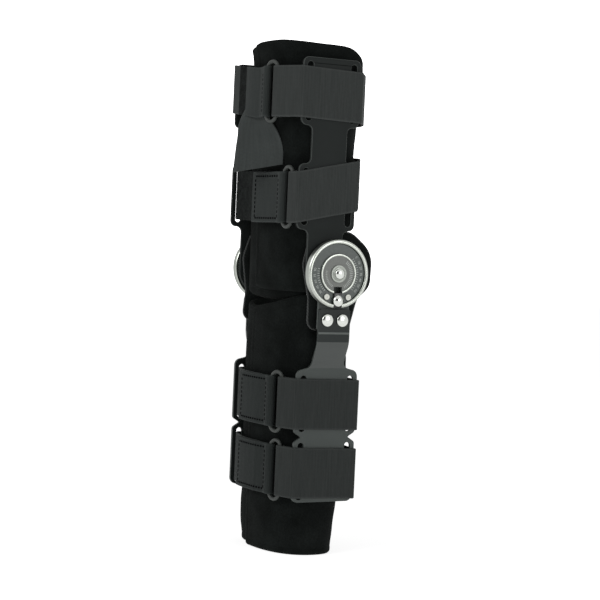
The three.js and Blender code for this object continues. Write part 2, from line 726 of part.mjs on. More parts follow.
// From under its own outer layer round the ring's outer wire, over the outer bar, round the back,
// over the inner bar and across the front under the tab
function strapLine(strap, bar, form) {
  const skin = GAP + WEB.wall / 2;
  const top = strapTop(strap, bar.front);
  const backTop = strapTop(strap, BACK_Y);
  const frame = ringFrame(strap, bar);
  const outside = bar.inner + BAR_WALL + skin;
  const innerEnd = Math.min(frame.reach - UNDER_END.rim, RING.barX + UNDER_END.reach);
  const underLayer = FOLD - LAYER;
  const fold = [
    frame.at(innerEnd, underLayer),
    frame.at(RING.barX + 2 * FOLD_BLEND, underLayer, FOLD_BLEND),
    frame.at(RING.barX + WEB.wall, -FOLD, FOLD_BLEND - GAP),
    frame.at(RING.barX - FOLD, -FOLD, FOLD),
    frame.at(RING.barX - FOLD, FOLD, FOLD),
    { x: outside, y: bar.front - skin, radius: skin },
    { x: outside, y: bar.rear + skin, radius: skin },
  ];
  const back = [];
  const halfWidth = lookUp(form, "z", "halfWidth", backTop, THREE.LinearInterpolant);
  const halfDepth = lookUp(form, "z", "front", backTop, THREE.LinearInterpolant);
  const touch = bar.rear > 30 ? 70 : 50;
  for (let i = 0; i <= 6; i += 1) {
    const angle = radians(THREE.MathUtils.lerp(touch, 180 - touch, i / 6));
    const x = (halfWidth + skin + GAP) * signedPower(Math.cos(angle), 2 / FORM_POWER);
    const y = (halfDepth + skin + GAP) * signedPower(Math.sin(angle), 2 / FORM_POWER);
    back.push({ x, y });
  }
  const slot = bar.front + SLOT.rim + SLOT.width / 2;
  const throughSlot = [
    { x: -outside, y: slot + SLOT_PASS.before, radius: FOLD_BLEND - GAP },
    { x: -(bar.inner - SLOT_PASS.drop), y: slot - SLOT_PASS.after, radius: SLOT_PASS.radius },
  ];
  const overRim = [{ x: -outside, y: bar.front - skin, radius: skin }];
  const front = [];
  const last = Math.min(strap.ringX - FRONT_END.ring, strap.bendX);
  for (let i = 0; i <= 5; i += 1) {
    const x = THREE.MathUtils.lerp(FRONT_END.inner, last, i / 5);
    front.push({ x, y: -frontDepth(form, x, top) - skin - GAP / 2 });
  }
  return roundedLine([
    ...fold,
    ...back,
    { x: -outside, y: bar.rear + skin, radius: skin },
    ...(strap.overRim ? overRim : throughSlot),
    ...front,
  ]);
}

// Two layers of webbing from the tab's inner end to the ring and back round its inner wire
function tabLine(strap, bar, form) {
  const top = strapTop(strap, bar.front);
  const frame = ringFrame(strap, bar);
  const rise = GAP * 3 + WEB.wall * 1.5 + LAYER / 2 + strap.under;
  const middle = [];
  for (let i = 0; i <= 4; i += 1) {
    const x = THREE.MathUtils.lerp(strap.tabX, strap.bendX, i / 4);
    middle.push(new THREE.Vector2(x, -frontDepth(form, x, top) - rise));
  }
  const wire = frame.middle.clone().addScaledVector(frame.along, -RING.barX);
  const along = wire.clone().sub(middle[4]).normalize();
  const out = new THREE.Vector2(along.y, -along.x);
  middle.push(wire.clone().addScaledVector(along, -3 * FOLD_BLEND));
  const corner = (length, height, radius) => {
    const point = wire.clone().addScaledVector(along, length).addScaledVector(out, height);
    return { x: point.x, y: point.y, radius };
  };
  const plain = (points) => points.map((point) => ({ x: point.x, y: point.y, radius: 0 }));
  return roundedLine([
    ...plain(offsetLine(middle, -LAYER / 2)),
    corner(GAP - FOLD_BLEND, FOLD, FOLD_BLEND),
    corner(FOLD, FOLD, FOLD),
    corner(FOLD, -FOLD, FOLD),
    corner(GAP - FOLD_BLEND, -FOLD, FOLD_BLEND),
    ...plain(offsetLine(middle, LAYER / 2).reverse()),
  ]);
}

// Oval wire loop: a torus whose upper and lower halves are drawn apart
function ring(strap, bar) {
  const frame = ringFrame(strap, bar);
  const geometry = new THREE.TorusGeometry(RING.barX, RING.wire, RING_TURNS.wire, RING_TURNS.loop);
  geometry.rotateZ(Math.PI / RING_TURNS.loop);
  const apart = RING.height / 2 - RING.barX - RING.wire;
  const points = geometry.attributes.position;
  for (let i = 0; i < points.count; i += 1) {
    points.setY(i, points.getY(i) + Math.sign(points.getY(i)) * apart);
  }
  geometry.rotateX(Math.PI / 2).rotateZ(frame.along.angle());
  return geometry.translate(frame.middle.x, frame.middle.y, strap.z);
}

function strapTail() {
  const acrossSteps = 5;
  const middleDepth = frontDepth(THIGH_FORM, 0, TAIL[0].z);
  const front = [];
  const back = [];
  for (let i = 0; i <= acrossSteps; i += 1) {
    const across = (i / acrossSteps - 0.5) * WEB.width;
    const frontColumn = [];
    const backColumn = [];
    TAIL.forEach((row, j) => {
      const along = new THREE.Vector3(Math.cos(radians(row.turn)), Math.sin(radians(row.turn)), 0);
      const out = new THREE.Vector3(along.y, -along.x, 0);
      const free = j / (TAIL.length - 1);
      const point = new THREE.Vector3(row.x, row.y, row.z + TAIL_SLANT * across * free);
      point.addScaledVector(along, across);
      point.y += (middleDepth - frontDepth(THIGH_FORM, point.x, TAIL[0].z)) * (1 - free);
      frontColumn.unshift(point.clone().addScaledVector(out, WEB.wall / 2));
      backColumn.unshift(point.clone().addScaledVector(out, -WEB.wall / 2));
    });
    front.push(frontColumn);
    back.push(backColumn);
  }
  return closedSheet(back, front);
}

// Assembly

const brace = new THREE.Group();
brace.add(
  piece("thigh_foam", sleeve(THIGH_FORM, THIGH_EDGES, thighRows), FOAM),
  piece("calf_foam", sleeve(CALF_FORM, CALF_EDGES, calfRows), FOAM),
);

const outerSide = hardware("lateral");
const innerSide = hardware("medial");
innerSide.scale.x = -1;
brace.add(outerSide, innerSide);

STRAPS.forEach((strap, i) => {
  const onThigh = strap.z > KNEE_Z;
  const bar = onThigh ? UPPER_BAR : LOWER_BAR;
  const form = onThigh ? THIGH_FORM : CALF_FORM;
  const number = i + 1;
  const strapBand = band(strapLine(strap, bar, form), strap);
  const tabBand = band(tabLine(strap, bar, form), strap);
  brace.add(
    piece(`strap_${number}`, strapBand, WEBBING),
    piece(`tab_${number}`, tabBand, WEBBING),
    piece(`ring_${number}`, ring(strap, bar), WIRE),
  );
});
brace.add(piece("strap_tail", strapTail(), WEBBING));

brace.position.y = FRONT_SHIFT;
const root = new THREE.Group();
root.add(brace);
export default root;
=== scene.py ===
# Post-op knee brace with a range-of-motion dial on each side, dressed around its CAD frame.
# Sizes are millimetres, x and y from the knee's middle and z from the floor; meshes are in metres.
import math

import bpy
import numpy as np
from mathutils import Matrix, Vector, noise


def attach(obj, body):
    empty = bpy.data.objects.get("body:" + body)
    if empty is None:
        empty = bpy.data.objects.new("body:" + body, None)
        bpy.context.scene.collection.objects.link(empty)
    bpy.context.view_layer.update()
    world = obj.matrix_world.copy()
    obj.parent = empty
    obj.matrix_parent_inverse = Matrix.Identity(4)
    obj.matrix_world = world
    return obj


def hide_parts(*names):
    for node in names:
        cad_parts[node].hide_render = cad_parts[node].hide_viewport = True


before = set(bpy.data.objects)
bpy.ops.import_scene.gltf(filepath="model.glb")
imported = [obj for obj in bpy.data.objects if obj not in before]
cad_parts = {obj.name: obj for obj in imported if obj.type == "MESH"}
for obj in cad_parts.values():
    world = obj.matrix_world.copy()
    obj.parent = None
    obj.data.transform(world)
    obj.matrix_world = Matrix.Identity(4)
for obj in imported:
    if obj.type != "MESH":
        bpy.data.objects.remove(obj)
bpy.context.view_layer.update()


# Studio: a plain white floor and surround with two soft lamps. A long lens looks at the outer
# front of the brace and is rolled a little, so that the brace leans as it does in the photograph.
def colour(code):
    """Linear colour of an sRGB hex code."""
    parts = [int(code[i:i + 2], 16) / 255 for i in (1, 3, 5)]
    return (*[p / 12.92 if p <= 0.04045 else ((p + 0.055) / 1.055) ** 2.4 for p in parts], 1)


def node(tree, kind, inputs, **settings):
    """Adds a shader node with its settings; an input is a value or another node's output."""
    made = tree.nodes.new("ShaderNode" + kind)
    for name, value in settings.items():
        setattr(made, name, value)
    for name, value in inputs.items():
        if isinstance(value, bpy.types.NodeSocket):
            tree.links.new(value, made.inputs[name])
        else:
            made.inputs[name].default_value = value
    return made


def new_material(name):
    """A material with an empty node tree and its output."""
    made = bpy.data.materials.new(name)
    made.use_nodes = True
    made.node_tree.nodes.clear()
    return made, made.node_tree


def finish_material(tree, **inputs):
    """Ends a material in one Principled shader."""
    shader = node(tree, "BsdfPrincipled", {k.replace("_", " "): v for k, v in inputs.items()})
    node(tree, "OutputMaterial", {"Surface": shader.outputs["BSDF"]})


VIEW = {"from": 61.2, "above": 2.2, "roll": 2.57, "distance": 1.95, "lens": 112.2}
VIEW_TARGET = Vector((0.00145, 0.01913, 0.25736))
turn = (Matrix.Rotation(math.radians(VIEW["from"]), 4, "Z")
        @ Matrix.Rotation(math.radians(90 - VIEW["above"]), 4, "X")
        @ Matrix.Rotation(math.radians(VIEW["roll"]), 4, "Z"))
place = VIEW_TARGET + turn.to_3x3() @ Vector((0, 0, VIEW["distance"]))
bpy.ops.object.camera_add(location=place, rotation=turn.to_euler())
camera = bpy.context.object
camera.data.lens = VIEW["lens"]
camera.data.sensor_width = 36
bpy.context.scene.camera = camera
bpy.context.scene.view_settings.view_transform = "Standard"

# White paper all round. It shows white and mirrors white in the plating, but lights the cloth less,
# and has a dark opening towards the camera that the rivets reflect.
PAPER = {"lights": 0.42, "mirrors": 1.0, "shows": 1.2}
OPENING = {"towards": (0.835, -0.46, 0.30), "outside": 0.86, "inside": 0.95, "left": 0.04}
world = bpy.data.worlds.new("white surround")
world.use_nodes = True
tree = world.node_tree
tree.nodes.clear()
rays = node(tree, "LightPath", {})
seen = node(tree, "Math", {0: rays.outputs["Is Camera Ray"], 1: rays.outputs["Is Glossy Ray"]},
            operation="MAXIMUM")
strength = node(tree, "MapRange", {"Value": seen.outputs[0], "To Min": PAPER["lights"],
                                   "To Max": PAPER["mirrors"]})
direction = node(tree, "TexCoord", {}).outputs["Generated"]
towards = node(tree, "VectorMath", {0: direction, 1: OPENING["towards"]}, operation="DOT_PRODUCT")
opening = node(tree, "MapRange", {"Value": towards.outputs["Value"], "From Min": OPENING["outside"],
                                  "From Max": OPENING["inside"], "To Min": 1.0, "To Max": OPENING["left"]})
around = node(tree, "Math", {0: rays.outputs["Is Camera Ray"], 1: PAPER["shows"], 2: opening.outputs[0]},
              operation="MULTIPLY_ADD")
lit = node(tree, "Math", {0: strength.outputs[0], 1: around.outputs[0]}, operation="MULTIPLY")
paper = node(tree, "Background", {"Color": (1, 1, 1, 1), "Strength": lit.outputs[0]})
node(tree, "OutputWorld", {"Surface": paper.outputs[0]})
bpy.context.scene.world = world

LAMPS = [
    {"name": "front lamp", "at": (0.5, -1.6, 1.2), "size": 0.9, "watts": 9},
    {"name": "side lamp", "at": (1.8, 0.7, 0.7), "size": 0.8, "watts": 6},
]
LAMP_TARGET = Vector((0, 0, 0.26))
for lamp in LAMPS:
    aim = LAMP_TARGET - Vector(lamp["at"])
    bpy.ops.object.light_add(type="AREA", location=lamp["at"],
                             rotation=aim.to_track_quat("-Z", "Y").to_euler())
    bpy.context.object.name = lamp["name"]
    bpy.context.object.data.energy = lamp["watts"]
    bpy.context.object.data.size = lamp["size"]

bpy.ops.mesh.primitive_plane_add(size=12, location=(0, 0, 0))
floor = bpy.context.object
floor.name = "floor"
floor_paper, tree = new_material("white studio paper")
finish_material(tree, Base_Color=colour("#c4c4c4"), Roughness=1.0, Specular_IOR_Level=0.0,
                Emission_Color=(1, 1, 1, 1), Emission_Strength=0.8)
floor.data.materials.append(floor_paper)


# Thigh and calf wraps: laminated foam, black brushed loop cloth outside, wrapped once round the
# leg and lapped at the front. The edges are turned and sewn down, and the foam swells between straps.
KNEE_Y = 16.7
KNEE_Z = 288.0
FOAM = 6.0
FORM_POWER = 2.4
# Height, half width, and depth to the front and to the rear
THIGH_FORM = np.array([
    (255, 70.4, 42, 42), (330, 70.6, 43, 43), (375, 70.7, 44.9, 44.9), (417, 70.8, 46.5, 36.5),
    (470, 71, 48, 48), (500, 71, 48.8, 47), (525, 71.5, 56, 45)])
CALF_FORM = np.array([
    (0, 62, 41, 34.5), (20, 62.9, 42, 33.5), (36, 63.7, 42.6, 34.2), (52, 64.5, 42.6, 38),
    (66, 65.1, 42, 41.5), (113, 66.5, 43, 43), (160, 66.6, 44, 44), (262, 66.6, 43.5, 43.5)])
# Angle round the leg, lower and upper edge
THIGH_EDGES = np.array([
    (-28, 264.5, 516), (-44, 262.8, 518), (-69, 259, 520), (-90, 258, 520), (-125, 260, 519.5),
    (-160, 268, 516), (-178, 272, 512), (-191, 300, 509), (-206, 334, 506), (-226, 351, 503),
    (-250, 366, 501), (-270, 368, 500), (-290, 366, 500), (-314, 351, 506), (-334, 334, 512),
    (-349, 300, 516.5), (-362, 272, 517.5), (-380, 268, 518), (-425, 268, 522), (-452, 268, 521.5),
    (-459.5, 269.5, 520), (-462.6, 276, 514)])
CALF_EDGES = np.array([
    (-69, 0, 250), (-90, 0, 250), (-125, 0, 250), (-160, 0, 255), (-180, 0, 257),
    (-196, 0, 243), (-210, 0, 218), (-226, 0, 202), (-250, 0, 190), (-270, 0, 186),
    (-290, 0, 190), (-314, 0, 202), (-330, 0, 218), (-344, 0, 243), (-360, 0, 263),
    (-378, 0, 266), (-400, 0, 264), (-430, 0, 256.5), (-455, 0, 251), (-459.5, 0, 249), (-462.6, 0, 244)])
# How far the tables are eased up and round the leg, and the stretch before the flap where that fades
EASE = {"height": 8, "angle": 7, "flap": 12.6}
GIRTH = 366
LAP_GAP = 0.6
LAP_FROM, LAP_TO = 108, 150
PAD_HOLLOW = {"half_width": 61.3, "radius": 63, "slope": 0.75}
# Straps from the top: middle height, rise to the rear, lean to the inner side, the loop's place, where
# strap and tab bend towards it, the tab's inner end and the room under it. A strap passes the inner
# bar round its rim or through its slot, where the slit sets it back.
STRAPS = [
    {"z": 468.5, "slit": 0, "rise": -0.035, "lean": 0.105, "ring": (33.5, -58), "bend": 8, "tab": -27,
     "under": 2.7, "rim": True},
    {"z": 363, "slit": 0.9, "rise": 0.2, "lean": 0, "ring": (56, -47), "bend": 14, "tab": -11,
     "under": 0, "rim": False},
    {"z": 156, "slit": 0, "rise": -0.02, "lean": 0, "ring": (44.5, -43.5), "bend": 14, "tab": -27,
     "under": 0, "rim": False},
    {"z": 86.5, "slit": 0, "rise": -0.03, "lean": 0, "ring": (44, -41.5), "bend": 14, "tab": -30,
     "under": 0, "rim": False},
]
# Side bars: inner face and ends, and the angle round the leg where a strap touches the wrap behind them
UPPER = {"inner": 71.4, "front": -45, "rear": 21, "low": 250, "high": 506, "touch": 50}
LOWER = {"inner": 67, "front": -35, "rear": 35, "low": 54, "high": 256, "touch": 70}
# Distances over which a strap, bar or pad stops pressing on the foam
PRESS = {"strap": (26, 42), "bar": (3, 16), "bar_side": (48, 58), "pad": (66, 80), "pad_side": (40, 50)}
SWELL = {"height": 1.3, "ripple": 0.5, "ripple_size": 38, "from_seam": 16}
SEAM = {"at": 7.0, "depth": 0.25, "half_width": 1.6}
EDGE_ROWS = (3, 4.2, 5.4, 6.3, 7, 7.7, 8.8, 11, 14, 18)
EDGE_CLEAR = 20
FAR_FROM_FLAP = 99


def metres(x, y, z):
    """Place in the frame of a point in the sections' millimetres."""
    return Vector((x, y + KNEE_Y, z)) / 1000


def smoothstep(value, low, high):
    """From 0 at the low value to 1 at the high one, level at both."""
    share = np.clip((value - low) / (high - low), 0, 1)
    return share * share * (3 - 2 * share)


def signed_power(value, power):
    """Power of a value's size, with its sign kept."""
    return np.sign(value) * np.abs(value) ** power


def eased(form, column, z):
    """Value of a form's column at a height, eased between its rows."""
    spread = np.linspace(-EASE["height"], EASE["height"], 9)
    near = np.clip(z + spread, form[0, 0], form[-1, 0])
    return np.interp(near, form[:, 0], form[:, column]).mean()


def wrap_point(form, angle, z, depth):
    """Point of a wrap's section so deep under its outer form, drawn in behind the condyle pads."""
    half_width = eased(form, 1, z) - depth
    half_depth = eased(form, 3 if math.sin(math.radians(angle)) > 0 else 2, z) - depth
    x = half_width * signed_power(math.cos(math.radians(angle)), 2 / FORM_POWER)
    y = half_depth * signed_power(math.sin(math.radians(angle)), 2 / FORM_POWER)
    past = max(math.hypot(y, z - KNEE_Z) - PAD_HOLLOW["radius"], 0)
    limit = PAD_HOLLOW["half_width"] + PAD_HOLLOW["slope"] * past - depth
    return math.copysign(min(abs(x), limit), x), y, z


def front_depth(form, x, z):
    """How far a wrap's form reaches to the front at a place across it."""
    half_width = np.interp(z, form[:, 0], form[:, 1])
    half_depth = np.interp(z, form[:, 0], form[:, 2])
    share = min(abs(x) / half_width, 1)
    return half_depth * (1 - share ** FORM_POWER) ** (1 / FORM_POWER)


def held_down(x, y, z):
    """From 0 where the foam is free to 1 where a strap, bar or pad presses on it."""
    held = 0.0
    for strap in STRAPS:
        middle = strap["z"] + strap["rise"] * (y - strap["ring"][1])
        held = max(held, 1 - smoothstep(abs(z - middle), *PRESS["strap"]))
    for bar in (UPPER, LOWER):
        beside = max(bar["front"] - y, y - bar["rear"], bar["low"] - z, z - bar["high"], 0)
        on_side = smoothstep(abs(x), *PRESS["bar_side"])
        held = max(held, on_side * (1 - smoothstep(beside, *PRESS["bar"])))
    under_pad = 1 - smoothstep(math.hypot(y, z - KNEE_Z), *PRESS["pad"])
    return max(held, smoothstep(abs(x), *PRESS["pad_side"]) * under_pad)


def edge_heights(edges, angle):
    """Lower and upper edge of a wrap, eased between the rows of its table, but not at the flap."""
    spread = np.linspace(-EASE["angle"], EASE["angle"], 15)
    order = edges[::-1]
    near = np.clip(angle + spread, order[0, 0], order[-1, 0])
    ease = smoothstep(angle, order[0, 0], order[0, 0] + EASE["flap"])
    low, high = (np.interp(near, order[:, 0], order[:, i]).mean() for i in (1, 2))
    sharp_low, sharp_high = (np.interp(angle, order[:, 0], order[:, i]) for i in (1, 2))
    return sharp_low + (low - sharp_low) * ease, sharp_high + (high - sharp_high) * ease


def wrap_section(form, edges, angle, wall, from_flap):
    """Closed loop through one column of the wrap: outer face, upper edge, inner face, lower edge."""
    low, high = edge_heights(edges, angle)
    shrink = (FOAM - wall) / 2
    low, high, half = low + shrink, high - shrink, wall / 2
    near = [row / EDGE_ROWS[0] * half for row in EDGE_ROWS] if wall < FOAM else list(EDGE_ROWS)
    middle = np.linspace(low + near[-1], high - near[-1], 34)[1:-1]
    heights = [low + row for row in near] + list(middle) + [high - row for row in reversed(near)]
    lap = (FOAM + LAP_GAP) * (1 - smoothstep(-angle, LAP_FROM, LAP_TO))
    loop = []
    for z in heights:
        from_edge = min(z - low, high - z, from_flap)
        x, y, _ = wrap_point(form, angle, z, lap)
        free = (1 - held_down(x, y, z)) * smoothstep(-angle, LAP_FROM, LAP_TO)
        ripple = noise.noise(Vector((x, y, z)) / SWELL["ripple_size"]) * SWELL["ripple"]
        swell = (SWELL["height"] + ripple) * free
        swell *= smoothstep(from_edge, SEAM["at"], SEAM["at"] + SWELL["from_seam"])
        seam = SEAM["depth"] * max(0, 1 - abs(from_edge - SEAM["at"]) / SEAM["half_width"])
        loop.append(wrap_point(form, angle, z, lap + shrink + seam - swell))
    turns = [math.pi * i / 6 for i in range(1, 6)]
    middle_depth = lap + FOAM / 2
    loop += [wrap_point(form, angle, high - half + half * math.sin(t),
                        middle_depth - half * math.cos(t)) for t in turns]
    loop += [wrap_point(form, angle, z, lap + shrink + wall) for z in reversed(heights)]
    loop += [wrap_point(form, angle, low + half - half * math.sin(t),
                        middle_depth + half * math.cos(t)) for t in turns]
    return loop


def add_mesh(name, points, faces):
    """An object from points in millimetres, alone in the selection and active."""
    mesh = bpy.data.meshes.new(name)
    mesh.from_pydata([metres(*p) for p in points], [], faces)
    made = bpy.data.objects.new(name, mesh)
    bpy.context.collection.objects.link(made)
    pick(made)
    return made


def pick(piece):
    """Makes a piece the only one selected, and active."""
    bpy.ops.object.select_all(action="DESELECT")
    piece.select_set(True)
    bpy.context.view_layer.objects.active = piece


def clean(piece, sharp=40):
    """Merges doubles, turns the faces outwards and smooths all but the sharp edges."""
    pick(piece)
    bpy.ops.object.mode_set(mode="EDIT")
    bpy.ops.mesh.select_all(action="SELECT")
    bpy.ops.mesh.remove_doubles(threshold=1e-5)
    bpy.ops.mesh.normals_make_consistent(inside=False)
    bpy.ops.object.mode_set(mode="OBJECT")
    bpy.ops.object.shade_smooth_by_angle(angle=math.radians(sharp))


def wrap(name, form, edges):
    """A wrap in columns of (angle, wall, distance from the flap's edge), rounded at both ends."""
    first, last = edges[0, 0], edges[-1, 0]
    per_mm = 360 / GIRTH
    half = EDGE_ROWS[0]
    turns = [math.pi / 2 * i / 4 for i in range(5)]
    columns = [(first - (1 - math.sin(t)) * half * per_mm, FOAM * math.cos(t), FAR_FROM_FLAP)
               for t in reversed(turns)]
    columns += [(angle, FOAM, FAR_FROM_FLAP)
                for angle in np.linspace(first - FOAM, last + EDGE_CLEAR * per_mm, 104)]
    columns += [(last + row * per_mm, FOAM, row) for row in reversed(EDGE_ROWS)]
    columns += [(last + half * (1 - math.sin(t)) * per_mm, FOAM * math.cos(t), half) for t in turns[1:]]
    loops = [wrap_section(form, edges, *column) for column in columns]
    around = len(loops[0])
    points = [p for loop in loops for p in loop]
    faces = []
    for i in range(len(loops) - 1):
        for j in range(around):
            k = (j + 1) % around
            faces.append((i * around + j, (i + 1) * around + j, (i + 1) * around + k, i * around + k))
    made = add_mesh(name, points, faces)
    clean(made, 80)
    return made


# Brushed loop cloth: knitted nylon with its loops raised, matt black with a soft lint sheen.
# Loop tufts are about 1 mm, drawn at 1.6 mm to show, over patches of about 25 mm.
loop_cloth, tree = new_material("brushed nylon loop cloth")
at = node(tree, "TexCoord", {}).outputs["Object"]
tufts = node(tree, "TexNoise", {"Vector": at, "Scale": 620.0, "Detail": 3.0, "Roughness": 0.7})
patches = node(tree, "TexNoise", {"Vector": at, "Scale": 40.0, "Detail": 2.0})
mixed = node(tree, "Math", {0: tufts.outputs["Fac"], 1: patches.outputs["Fac"]}, operation="MULTIPLY")
shade = node(tree, "MapRange", {"Value": mixed.outputs[0], "From Min": 0.12, "From Max": 0.42})
tone = node(tree, "Mix", {0: shade.outputs[0], 6: colour("#0e100f"), 7: colour("#1b1e1d")},
            data_type="RGBA")
relief = node(tree, "Bump", {"Height": tufts.outputs["Fac"], "Strength": 0.55, "Distance": 0.0007})
finish_material(tree, Base_Color=tone.outputs[2], Roughness=0.95, Normal=relief.outputs[0],
                Sheen_Weight=0.02, Sheen_Roughness=0.45, Specular_IOR_Level=0.02)

for name, cad, body, form, edges in (("thigh_wrap", "thigh_foam", "thigh", THIGH_FORM, THIGH_EDGES),
                                     ("calf_wrap", "calf_foam", "calf", CALF_FORM, CALF_EDGES)):
    sleeve = wrap(name, form, edges)
    sleeve.data.materials.append(loop_cloth)
    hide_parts(cad)
    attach(sleeve, body)


# Side bars: 3 mm aluminium blanked with slotted wings for the straps, edges tumbled round,
# powder-coated dark grey. The lower bar is joggled outwards to reach the dial.
BAR_WALL = 3
BAR_EDGE = 0.5
PIVOT_HOLE = 4.3
STUD = {"y": 8.6, "z": 241, "hole": 2.9}
SLOT = {"in": 8, "half": 3.5, "end": 4.5, "round": 3.43}


def rounded(corners, steps=8):
    """Closed outline with each corner rounded by its own radius; rows are y, z, radius."""
    points = []
    for i, (y, z, radius) in enumerate(corners):
        here = Vector((y, z))
        back = (Vector(corners[i - 1][:2]) - here).normalized()
        on = (Vector(corners[(i + 1) % len(corners)][:2]) - here).normalized()
        if radius == 0:
            points.append(tuple(here))
            continue
        half = math.acos(max(-1, min(1, back.dot(on)))) / 2
        centre = here + (back + on).normalized() * radius / math.sin(half)
        start = here + back * radius / math.tan(half) - centre
        end = here + on * radius / math.tan(half) - centre
        sweep = math.atan2(start.x * end.y - start.y * end.x, start.dot(end))
        for step in range(steps + 1):
            angle = sweep * step / steps
            c, s = math.cos(angle), math.sin(angle)
            points.append((centre.x + start.x * c - start.y * s, centre.y + start.x * s + start.y * c))
    return points


def ring_of(y, z, radius, steps=40):
    """Outline of a round hole."""
    return [(y + radius * math.cos(2 * math.pi * i / steps), z + radius * math.sin(2 * math.pi * i / steps))
            for i in range(steps)]


def slots(front, rear, wings):
    """Strap slots at both edges of each wing."""
    loops = []
    half, radius = SLOT["half"], SLOT["round"]
    for low, high in wings:
        bottom, top = low + SLOT["end"], high - SLOT["end"]
        for y in (front + SLOT["in"], rear - SLOT["in"]):
            loops.append(rounded([(y - half, bottom, radius), (y + half, bottom, radius),
                                  (y + half, top, radius), (y - half, top, radius)]))
    return loops


def blank(name, loops, inner, wall):
    """Flat plate cut to its loops, extruded outwards from the leg by its wall."""
    points = [(inner, y, z) for loop in loops for y, z in loop]
    made = add_mesh(name, points, [])
    ends = np.cumsum([0] + [len(loop) for loop in loops])
    edges = [(a + i, a + (i + 1) % (b - a)) for a, b in zip(ends, ends[1:]) for i in range(b - a)]
    made.data.edges.add(len(edges))
    made.data.edges.foreach_set("vertices", [v for edge in edges for v in edge])
    bpy.ops.object.mode_set(mode="EDIT")
    bpy.ops.mesh.select_all(action="SELECT")
    bpy.ops.mesh.fill(use_beauty=True)
    bpy.ops.mesh.extrude_region_move(TRANSFORM_OT_translate={"value": (wall / 1000, 0, 0)})
    bpy.ops.mesh.select_all(action="SELECT")
    bpy.ops.mesh.normals_make_consistent(inside=False)
    bpy.ops.object.mode_set(mode="OBJECT")
    return made


def apply_modifier(piece, kind, **settings):
    """Adds a modifier with its settings and applies it."""
    pick(piece)
    modifier = piece.modifiers.new(kind.lower(), kind)
    for key, value in settings.items():
        setattr(modifier, key, value)
    bpy.ops.object.modifier_apply(modifier=modifier.name)


def tumble(piece, edge, sharp=40):
    """Rounds the sharp edges; the rounding takes the second material slot."""
    apply_modifier(piece, "BEVEL", width=edge / 1000, segments=3, limit_method="ANGLE",
                   angle_limit=math.radians(sharp), material=min(1, len(piece.data.materials) - 1))
    pick(piece)
    bpy.ops.object.shade_smooth_by_angle(angle=math.radians(sharp))


def mirror(piece):
    """Turns a piece of the outer side into one of the inner side."""
    piece.data.transform(Matrix.Scale(-1, 4, (1, 0, 0)))
    piece.data.flip_normals()


def inner_copy(piece, name):
    """The same piece for the inner side of the knee, mirrored into a mesh of its own."""
    made = piece.copy()
    made.data = piece.data.copy()
    made.name = made.data.name = name
    bpy.context.collection.objects.link(made)
    mirror(made)
    return made


def fit(piece, cad, body):
    """Puts a rigid piece in the place of its CAD node."""
    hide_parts(cad)
    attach(piece, body)


# Powder coat: thick satin paint with a fine orange peel, about 1.5 mm across, over clouds of about
# 35 mm. It is paler where handling has polished the edges, and glossier where it is rubbed.
def powder_coat(name, dark, light, roughness, gloss=0.2):
    coat, tree = new_material(name)
    at = node(tree, "TexCoord", {}).outputs["Object"]
    peel = node(tree, "TexNoise", {"Vector": at, "Scale": 700.0, "Detail": 2.0})
    cloud = node(tree, "TexNoise", {"Vector": at, "Scale": 28.0, "Detail": 3.0})
    tone = node(tree, "Mix", {0: cloud.outputs["Fac"], 6: colour(dark), 7: colour(light)},
                data_type="RGBA")
    rough = node(tree, "MapRange", {"Value": cloud.outputs["Fac"], "To Min": roughness - 0.06,
                                    "To Max": roughness + 0.08})
    relief = node(tree, "Bump", {"Height": peel.outputs["Fac"], "Strength": 0.25, "Distance": 0.0002})
    finish_material(tree, Base_Color=tone.outputs[2], Roughness=rough.outputs[0],
                    Normal=relief.outputs[0], Specular_IOR_Level=gloss)
    return coat


upper_coat = powder_coat("black grey powder coat", "#191c1b", "#232726", 0.45, 0.08)
upper_edge = powder_coat("black powder coat worn at the edge", "#363a38", "#484c4a", 0.36)
lower_coat = powder_coat("mid grey powder coat", "#3b403e", "#464b49", 0.4)
lower_edge_wear_and_highlight = powder_coat("grey powder coat worn at the edge", "#4e5351", "#626764", 0.34)

UPPER_WINGS = ((331, 397), (435, 503))
INNER_UPPER_SLOTS = ((331, 397), (446, 503))
LOWER_SLOTS = ((54, 121), (123, 189))


def wing_side(bar, edge):
    """One side of the upper bar, out round each wing, from the lowest wing up."""
    rows = []
    for low, high in UPPER_WINGS:
        rows += [(bar, low, 6), (edge, low, 6.3), (edge, high, 6.3), (bar, high, 6)]
    return rows[:-1]


outline = [(-32, 262, 22), *wing_side(-32, UPPER["front"]), *reversed(wing_side(8, UPPER["rear"])),
           (8, 304, 5), (26, 304, 12), (26, 262, 22)]
upper_bars = {}
for side, slotted in (("lateral", UPPER_WINGS), ("medial", INNER_UPPER_SLOTS)):
    upper_bars[side] = blank(f"upper_side_bar_{side}",
                             [rounded(outline), *slots(UPPER["front"], UPPER["rear"], slotted),
                              ring_of(0, KNEE_Z, PIVOT_HOLE)], UPPER["inner"], BAR_WALL)

rear_side = [(35, 56, 7), (35, 117, 4), (27.5, 121.6, 0.6), (27.5, 122.4, 0.6), (35, 127, 4),
             (35, 189, 7), (18, 193, 8), (18, 252, 2.5)]
outline = rear_side + [(-y, z, radius) for y, z, radius in reversed(rear_side)]
stud_holes = [ring_of(y, STUD["z"], STUD["hole"]) for y in (-STUD["y"], STUD["y"])]
lower_bar = blank("lower_side_bar_lateral",
                  [rounded(outline), *slots(LOWER["front"], LOWER["rear"], LOWER_SLOTS), *stud_holes],
                  LOWER["inner"], BAR_WALL)

